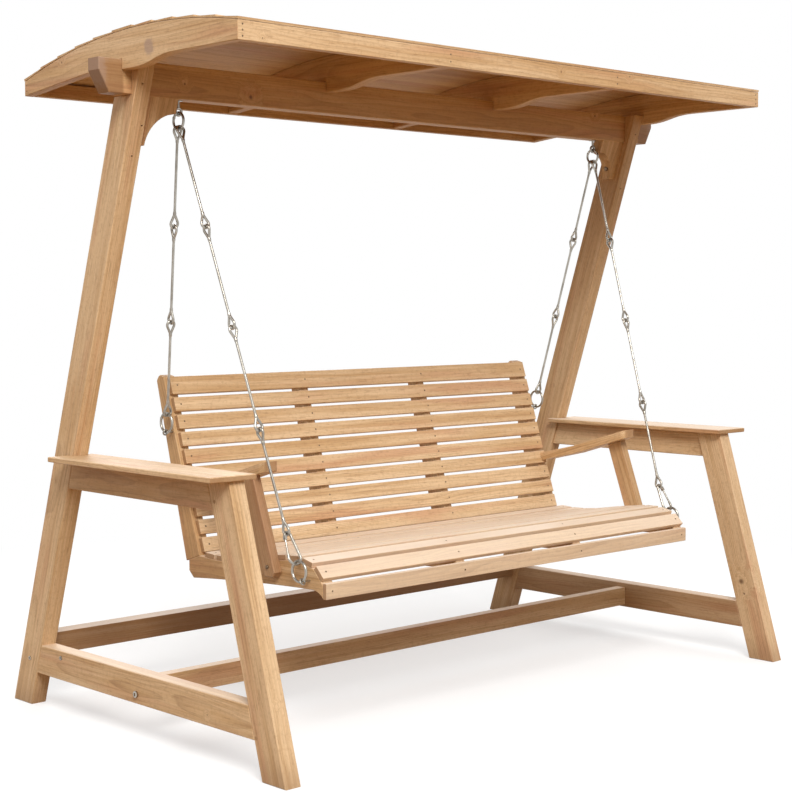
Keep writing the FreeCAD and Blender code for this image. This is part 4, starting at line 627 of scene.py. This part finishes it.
# Each row's middle, its heart and its shift along the trunk, then how it differs from a plain board
ROWS = {
    "seat_slats": ((0, -0.2, 0.5), (0.05, 0.03), 2.0, {
        "lift": -0.1, "top_bleach_and_light": 0.9, "sides": 0.45, "number": seat_number}),
    "back_slats": ((0, 0.17, 0.72), (0.06, 0.04), 4.0, {"number": back_number}),
    "roof_slats": ((0, ROOF_CENTRE[0], ROOF_CENTRE[1] + ROOF_RADIUS), (0.05, 0.05), 6.0, {
        "lift": 0.05, "top_bleach_and_light": 0.25, "ends": 0.15, "number": roof_number}),
}
for node, (centre, heart, shift, details) in ROWS.items():
    dress(node, teak(f"teak_{node}", ACROSS_SWING, centre, heart, shift, **details))
print(f"{len(ROWS)} rows of slats numbered")

# %% [markdown]
# ## Plated steel
# The rods, rings and hooks are bent from bright plated wire. Plating is a thin, slightly
# uneven skin: it reflects like metal, is a little duller where hands and weather reach it,
# and is never one even grey.


# %% Plated wire and dull screws
DULL_NOISE, DULL_EDGE, ROUGH_EDGE, ROUGH_SPREAD = (26.0, 3.0, 0.55), (0.3, 0.75), (0.2, 0.8), 0.12
SPECK_NOISE, SPECK_EDGE, SPECK_TONE = (260.0, 2.0), (0.66, 0.76), tone(92, 80, 68)
PLATING_BUMP, PLATING_DEPTH, PIT_SHARE = 0.1, 0.0003, -0.5


def plated(name, bright, dull, polish, speckle):
    """A plated steel whose tone and roughness wander over the surface, with a few dull specks."""
    finish = Finish(bpy.data.materials.new(name))
    patches = noise(finish, finish.place(), *DULL_NOISE)
    specks = smooth(finish, noise(finish, finish.place(), *SPECK_NOISE), *SPECK_EDGE)
    colour = mix(finish, smooth(finish, patches, *DULL_EDGE), bright, dull)
    colour = mix(finish, specks * speckle, colour, SPECK_TONE)
    bump = finish.node("ShaderNodeBump", {}, {"Strength": PLATING_BUMP, "Distance": PLATING_DEPTH,
                                              "Height": patches + specks * PIT_SHARE})
    rough = smooth(finish, patches, *ROUGH_EDGE, polish, polish + ROUGH_SPREAD)
    finish.set(Base_Color=colour, Metallic=1.0 - specks * speckle, Roughness=rough, Normal=bump)
    return finish.material


wire_steel = plated("plated_wire", tone(182, 177, 168), tone(148, 142, 132), 0.26, 0.08)
screw_steel = plated("dull_screws", tone(146, 124, 100), tone(108, 90, 72), 0.45, 0.3)
socket_shade = plated("socket_shade", tone(70, 60, 50), tone(44, 38, 32), 0.6, 0.3)
WIRE_NODES = [f"{side}_{part}" for side in ("left", "right") for part in (
    "screw_eye", "top_ring", "front_rods", "rear_rods", "snap_hook", "hook_gate", "front_ring",
    "rear_ring")] + ["ring_eyes"]
for node in WIRE_NODES:
    dress(node, wire_steel)
SCREW_NODES = ("roof_screws", "fascia_nails", "frame_bolts", "bench_screws")
for node in SCREW_NODES:
    dress(node, screw_steel)
print(f"{len(WIRE_NODES)} wire nodes plated")

# %% [markdown]
# ## Plugs
# Each front leg has two round plugs of darker end grain over its bolts. They are turned from
# a slow-grown stick, so their rings lie close and the heart is just beside the middle.

# %% Plug end grain
PLUG_RING_GAP, PLUG_LIFT = 0.0016, 0.5
plug = teak("teak_plugs", ACROSS_SWING, (0, -0.5, 0.4), (0.01, 0.01), 1.0, ring_gap=PLUG_RING_GAP,
            lift=PLUG_LIFT)
dress("leg_plugs", plug)
print(f"plugs dressed, rings {PLUG_RING_GAP * 1000:.1f} mm apart")

# %% [markdown]
# ## Small steel pieces
# A plain solid stands for each fastener in the CAD model. The real ones have a shape of their
# own, so each kind is modelled once here with the usual editing tools and then copied to every
# place. The places are measured on the CAD solids: a screw is round, so the middles of its two
# halves lie on its axis, and the half that is wider is its head.


# %% Measure the round solids
# Points nearer than MERGED are one point, lengths nearer than EQUAL are equal
MERGED, EQUAL = 1e-6, 1e-5


def islands(node):
    """The corner points of each separate solid, from a merged copy of a CAD node's mesh."""
    shell = bmesh.new()
    shell.from_mesh(boards[node].data)
    bmesh.ops.remove_doubles(shell, verts=shell.verts, dist=MERGED)
    found, seen = [], set()
    for first in shell.verts:
        if first in seen:
            continue
        seen.add(first)
        group, edge_of = [first], [first]
        while edge_of:
            for edge in edge_of.pop().link_edges:
                for corner in edge.verts:
                    if corner not in seen:
                        seen.add(corner)
                        group.append(corner)
                        edge_of.append(corner)
        found.append([corner.co.copy() for corner in group])
    shell.free()
    return found


def middle(points):
    return sum(points, Vector()) / len(points)


def round_axis(points):
    """The head, outward direction, radius and length of a round solid."""
    centre = middle(points)
    far = max(points, key=lambda point: (point - centre).length) - centre
    halves = [[point for point in points if (point - centre).dot(far) * side > 0] for side in (1, -1)]
    axis = (middle(halves[0]) - middle(halves[1])).normalized()
    wide = [max(((point - centre) - axis * (point - centre).dot(axis)).length for point in half)
            for half in halves]
    if wide[1] > wide[0] + EQUAL:
        axis = -axis
    steps = [(point - centre).dot(axis) for point in points]
    return centre + axis * max(steps), axis, max(wide), max(steps) - min(steps)


print(len(islands("bench_screws")), "solids under the slats and arms")

# %% [markdown]
# Every piece starts as a primitive at its real size, on the origin and looking up. Faces are
# chosen by where they lie. A finished copy is laid in place through its mesh, so the object
# itself stays at the origin like the CAD nodes.


# %% Editing helpers
LOOKS_UP, SMOOTH_BELOW = 0.9, 38


def begin():
    bpy.ops.object.select_all(action="DESELECT")


def edit():
    """Edit the faces of the active piece."""
    bpy.ops.object.mode_set(mode="EDIT")
    bpy.context.tool_settings.mesh_select_mode = (False, False, True)


def faces_up(centre, normal):
    return normal.z > LOOKS_UP


def top_middle(centre, normal):
    return faces_up(centre, normal) and centre.xy.length < CLOSE


def choose(piece, wanted):
    """Select the faces whose middle and normal pass a test."""
    shell = bmesh.from_edit_mesh(piece.data)
    for face in shell.faces:
        face.select_set(False)
    for face in shell.faces:
        if wanted(face.calc_center_median(), face.normal):
            face.select_set(True)
    bmesh.update_edit_mesh(piece.data)


def push(distance):
    """Extrude the chosen faces along Z."""
    bpy.ops.mesh.extrude_region_move(TRANSFORM_OT_translate={"value": (0, 0, distance)})


def ring_up(piece, rings):
    """Inset the middle of the top and lift it, once for each width and rise."""
    for width, rise in rings:
        choose(piece, top_middle)
        bpy.ops.mesh.inset(thickness=width)
        bpy.ops.transform.translate(value=(0, 0, rise))


def settle():
    bpy.ops.mesh.select_all(action="SELECT")
    bpy.ops.mesh.normals_make_consistent(inside=False)
    bpy.ops.object.mode_set(mode="OBJECT")


def looking(direction, place, turn=0.0):
    """The matrix that stands a piece on a place with its Z along a direction."""
    stand = Vector(direction).to_track_quat("Z", "Y").to_matrix().to_4x4()
    return Matrix.Translation(place) @ stand @ Matrix.Rotation(turn, 4, "Z")


def lay_copies(model, name, places, body, material=None):
    """Copy a model to every place, each copy with its own mesh, and join them to one piece."""
    begin()
    for place in places:
        copy = bpy.data.objects.new(name, model.data.copy())
        copy.data.transform(place)
        bpy.context.scene.collection.objects.link(copy)
        copy.select_set(True)
        bpy.context.view_layer.objects.active = copy
    bpy.ops.object.join()
    piece = bpy.context.object
    piece.name = piece.data.name = name
    bpy.ops.object.shade_smooth_by_angle(angle=math.radians(SMOOTH_BELOW))
    if material is not None:
        piece.data.materials.clear()
        piece.data.materials.append(material)
    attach(piece, body)
    bpy.data.objects.remove(model)
    print(f"{name}: {len(places)} copies, {len(piece.data.polygons)} faces")


print(f"edges sharper than {SMOOTH_BELOW} degrees stay sharp")

# %% [markdown]
# ### Cross-recessed screw heads
# The slats are held by small countersunk screws with a cross recess. The top of a low disc is
# inset and lifted a little, which leaves a sloping rim, and inset again. Four cuts mark the
# arms of the cross on the inner disc, and the cross is pushed in.

# %% Screw heads
SCREW_RADIUS, SCREW_CAP, CROSS_ARM, CROSS_DEPTH = 0.0026, 0.0003, 0.00042, 0.0008
RIM_SHARE, RIM_RISE, LAND_SHARE, DISC_SHARE, CROSS_SHARE = 0.12, 0.5, 0.33, 0.5, 0.45
ARM_BOLT_LEAST_RADIUS = 0.004
SLAT_SCREW_TURN, ROOF_SCREW_TURN = 1.3, 0.9


def cross_screw():
    top = SCREW_CAP * (1 + RIM_RISE)

    def in_disc(centre, normal):
        return faces_up(centre, normal) and centre.xy.length < SCREW_RADIUS * DISC_SHARE

    def in_cross(centre, normal):
        return (faces_up(centre, normal) and centre.z > top - EQUAL
                and min(abs(centre.x), abs(centre.y)) < CROSS_ARM / 2
                and centre.xy.length < SCREW_RADIUS * CROSS_SHARE)

    begin()
    bpy.ops.mesh.primitive_cylinder_add(vertices=16, radius=SCREW_RADIUS, depth=SCREW_CAP * 4,
                                        location=(0, 0, -SCREW_CAP))
    head = bpy.context.object
    bpy.ops.object.transform_apply(location=True)
    edit()
    choose(head, faces_up)
    bpy.ops.mesh.inset(thickness=SCREW_RADIUS * RIM_SHARE)
    bpy.ops.transform.translate(value=(0, 0, SCREW_CAP * RIM_RISE))
    bpy.ops.mesh.inset(thickness=SCREW_RADIUS * LAND_SHARE)
    for axis in (Vector((1, 0, 0)), Vector((0, 1, 0))):
        for side in (-1, 1):
            choose(head, in_disc)
            bpy.ops.mesh.bisect(plane_co=axis * CROSS_ARM * side, plane_no=axis)
    choose(head, in_cross)
    push(-CROSS_DEPTH)
    settle()
    return head


slat_screws, arm_bolts = [], []
for points in islands("bench_screws"):
    place, way, radius, _ = round_axis(points)
    (arm_bolts if radius > ARM_BOLT_LEAST_RADIUS else slat_screws).append((place, way))
screw_places = [looking(way, place, index * SLAT_SCREW_TURN)
                for index, (place, way) in enumerate(slat_screws)]
lay_copies(cross_screw(), "bench_screw_heads", screw_places, "bench", screw_steel)
# A roof screw is a flat disc, wider than long, so its direction comes from the roof's arc
roof_places = []
for index, points in enumerate(islands("roof_screws")):
    place = middle(points)
    up = Vector((0, place.y - ROOF_CENTRE[0], place.z - ROOF_CENTRE[1])).normalized()
    top = max((point - place).dot(up) for point in points)
    roof_places.append(looking(up, place + up * top, index * ROOF_SCREW_TURN))
lay_copies(cross_screw(), "roof_screw_heads", roof_places, "frame", screw_steel)

# %% [markdown]
# ### Socket nuts and a domed bolt
# The frame is drawn together by bolts whose barrel nuts show in the posts and stretchers as a
# bright ring round a dark socket, and the middle stretcher's two bolts show the same face. The
# bolts that end inside the frame show none. A nut's rim is rolled over with insets, its top
# ring of corners is drawn to a hexagon, and the socket is pushed in. Each arm post is held by
# one dome-headed bolt: a dome is a disc whose top is inset and lifted in rings.

# %% Barrel nuts
NUT_RADIUS, NUT_FACE, SOCKET_SHARE, SOCKET_DEPTH = 0.0060, 0.0008, 0.52, 0.0014
NUT_RINGS = ((0.08, 0.5), (0.06, 0.15), (0.16, 0.0))
NUT_TURN, NUT_TURN_PER_METRE = 0.6, 9
HALF_FRAME = 1.07


def socket_nut():
    begin()
    bpy.ops.mesh.primitive_cylinder_add(vertices=36, radius=NUT_RADIUS, depth=NUT_FACE * 2)
    nut = bpy.context.object
    edit()
    ring_up(nut, [(NUT_RADIUS * width, NUT_FACE * rise) for width, rise in NUT_RINGS])
    shell = bmesh.from_edit_mesh(nut.data)
    rim = [corner for face in shell.faces if face.select for corner in face.verts]
    for corner in rim:
        angle = math.atan2(corner.co.y, corner.co.x) % (math.pi / 3) - math.pi / 6
        corner.co.xy *= SOCKET_SHARE * NUT_RADIUS / corner.co.xy.length / math.cos(angle)
    bmesh.update_edit_mesh(nut.data)
    push(-SOCKET_DEPTH)
    settle()
    nut.data.materials.append(wire_steel)
    nut.data.materials.append(socket_shade)
    for face in nut.data.polygons:
        if face.center.xy.length < NUT_RADIUS / 2 and face.center.z < NUT_FACE:
            face.material_index = 1
    return nut


nut_places = []
for points in islands("frame_bolts"):
    reach = max(abs(point.x) for point in points)
    end = middle([point for point in points if abs(point.x) > reach - CLOSE])
    size = Matrix.Scale(max((point - end).yz.length for point in points) / NUT_RADIUS, 4)
    if reach > HALF_FRAME:
        turn = NUT_TURN + end.z * NUT_TURN_PER_METRE
        nut_places.append(looking((math.copysign(1, end.x), 0, 0), end, turn) @ size)
lay_copies(socket_nut(), "socket_nuts", nut_places, "frame")


# %% Domed bolt heads
DOME_RADIUS, DOME_FACE = 0.0055, 0.0008
DOME_RINGS = ((0.0007, 0.0009), (0.0011, 0.0007), (0.0015, 0.0003))


def domed_head():
    begin()
    bpy.ops.mesh.primitive_cylinder_add(vertices=32, radius=DOME_RADIUS, depth=DOME_FACE)
    head = bpy.context.object
    edit()
    ring_up(head, DOME_RINGS)
    settle()
    return head


dome_places = [looking(way, place) for place, way in arm_bolts]
lay_copies(domed_head(), "arm_bolt_domes", dome_places, "bench", screw_steel)

# %% [markdown]
# ### Closed eyes and welded rings
# Each rod ends in an eye bent from the wire itself and closed where its tip meets the rod. The
# joint is a little thicker than the wire and tapers off along it, as a weld that was dressed
# by hand does. The rings are welded too, with one small bead across the wire.

# %% Beads on the wire
WIRE_RADIUS, EYE_REACH, TUBE_FIT = 0.00375, 0.0438, 1.01
EYE_BEAD_LENGTH, EYE_SWELL = 0.016, 0.34
RING_BEAD_LENGTH, RING_SWELL, RING_ANGLE = 0.006, 0.2, math.radians(25)
WOBBLE, WOBBLE_TURN = 0.04, 2100


def wire_bead(length, swell):
    """A spindle round the wire: a tube whose middle is swollen, with a slight wobble."""
    begin()
    bpy.ops.mesh.primitive_cylinder_add(vertices=20, radius=WIRE_RADIUS * TUBE_FIT, depth=length)
    bead = bpy.context.object
    edit()
    choose(bead, lambda centre, normal: abs(normal.z) < LOOKS_UP)
    bpy.ops.mesh.subdivide(number_cuts=5)
    shell = bmesh.from_edit_mesh(bead.data)
    for corner in shell.verts:
        share = 1 - abs(corner.co.z) / (length / 2)
        round_wire = math.atan2(corner.co.y, corner.co.x)
        wobble = 1 + WOBBLE * math.sin(corner.co.z * WOBBLE_TURN + round_wire * 2)
        corner.co.xy *= 1 + swell * math.sin(share * math.pi / 2) * wobble
    bmesh.update_edit_mesh(bead.data)
    settle()
    return bead


bead_places = []
for side in ("left", "right"):
    for rods in ("front_rods", "rear_rods"):
        for points in islands(f"{side}_{rods}"):
            place, way, _, length = round_axis(points)
            for reach in (EYE_REACH, length - EYE_REACH):
                bead_places.append(looking(way, place - way * reach))
lay_copies(wire_bead(EYE_BEAD_LENGTH, EYE_SWELL), "eye_closing_beads", bead_places, "bench",
           wire_steel)

ring_places = []
for ring in ("top_ring", "front_ring", "rear_ring"):
    for side in ("left", "right"):
        low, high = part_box(f"{side}_{ring}")
        centre, reach = (low + high) / 2, (high.y - low.y) / 2 - WIRE_RADIUS
        spot = centre + Vector((0, math.cos(RING_ANGLE), math.sin(RING_ANGLE))) * reach
        ring_places.append(looking((0, -math.sin(RING_ANGLE), math.cos(RING_ANGLE)), spot))
lay_copies(wire_bead(RING_BEAD_LENGTH, RING_SWELL), "ring_weld_beads", ring_places, "bench",
           wire_steel)

# %% [markdown]
# ## Floor, light and air
# The floor is a wide pale sheet that looks white to the camera and keeps the swing's shadow. It
# fades into plain white further out. To the wood it is a warm brown, as a terrace is, so the
# undersides of the roof and the seat fall into a warm shade. One broad lamp hangs high in
# front, towards the swing's left end, and a weak one behind. The air is brighter above than at
# the horizon, as under an open sky, so the roof's underside and the beam stay dark.


# %% Floor
FLOOR_SIZE, FLOOR_DROP = 60, 0.0005
WHITE, PAPER, GLOW = (1.0, 1.0, 1.0, 1.0), (0.5, 0.5, 0.5, 1.0), 0.5
TERRACE = tone(142, 101, 36)
FADE_START, FADE_END = 1.9, 3.4


def seen_rays(finish):
    """One where the camera looks, straight or through a gloss or a glass, and none elsewhere."""
    rays = finish.node("ShaderNodeLightPath", {}, {})
    outputs = rays.socket.node.outputs
    direct, gloss, glass = (Signal(finish, outputs[f"Is {ray} Ray"])
                            for ray in ("Camera", "Glossy", "Transmission"))
    return higher(finish, higher(finish, direct, gloss), glass)


def add_floor():
    begin()
    bpy.ops.mesh.primitive_plane_add(size=FLOOR_SIZE, location=(0, 0, -FLOOR_DROP))
    floor = bpy.context.object
    floor.name = "studio_floor"
    finish = Finish(bpy.data.materials.new("studio_floor"))
    finish.tree.nodes.remove(finish.shader)
    terrace = finish.node("ShaderNodeBsdfDiffuse", {}, {"Color": TERRACE})
    paper = finish.node("ShaderNodeBsdfDiffuse", {}, {"Color": PAPER})
    glow = finish.node("ShaderNodeEmission", {}, {"Color": WHITE, "Strength": GLOW})
    lit = finish.node("ShaderNodeAddShader", {}, {0: paper, 1: glow})
    white = finish.node("ShaderNodeEmission", {}, {"Color": WHITE, "Strength": 1.0})
    x, y, _ = parts_of(finish, finish.place())
    away = smooth(finish, unary(finish, "SQRT", x ** 2 + y ** 2), FADE_START, FADE_END)
    sheet = finish.node("ShaderNodeMixShader", {}, {0: away, 1: lit, 2: white})
    whole = finish.node("ShaderNodeMixShader", {}, {0: seen_rays(finish), 1: terrace, 2: sheet})
    finish.feed(finish.tree.nodes["Material Output"].inputs["Surface"], whole)
    floor.data.materials.append(finish.material)


add_floor()
print(f"floor laid, white from {FADE_END} m out")


# %% Lamps and sky
LAMP_TARGET = Vector((0, 0, 0.9))
# Each lamp's place, width, power and colour
LAMPS = {"key_lamp": ((-5.3, -8.0, 8.6), 5.6, 1330, (1.0, 0.985, 0.955)),
         "rear_lamp": ((3.4, 6.2, 4.6), 4.0, 200, (1.0, 0.98, 0.96))}
SKY_LOW, SKY_HIGH = 0.52, 0.8

for name, (place, width, power, colour) in LAMPS.items():
    data = bpy.data.lights.new(name, "AREA")
    data.shape, data.size, data.energy, data.color = "DISK", width, power, colour
    light = bpy.data.objects.new(name, data)
    light.location = place
    light.rotation_euler = (LAMP_TARGET - Vector(place)).to_track_quat("-Z", "Y").to_euler()
    bpy.context.scene.collection.objects.link(light)

world = bpy.data.worlds.new("studio_air")
bpy.context.scene.world = world
air = Finish(world, "Background")
_, _, rise = parts_of(air, air.place("Generated"))
level = smooth(air, rise, 0.0, 1.0, SKY_LOW, SKY_HIGH)
seen = seen_rays(air)
air.set(Color=WHITE, Strength=level + seen * (1.0 - level))
print(f"{len(LAMPS)} lamps and the sky on")
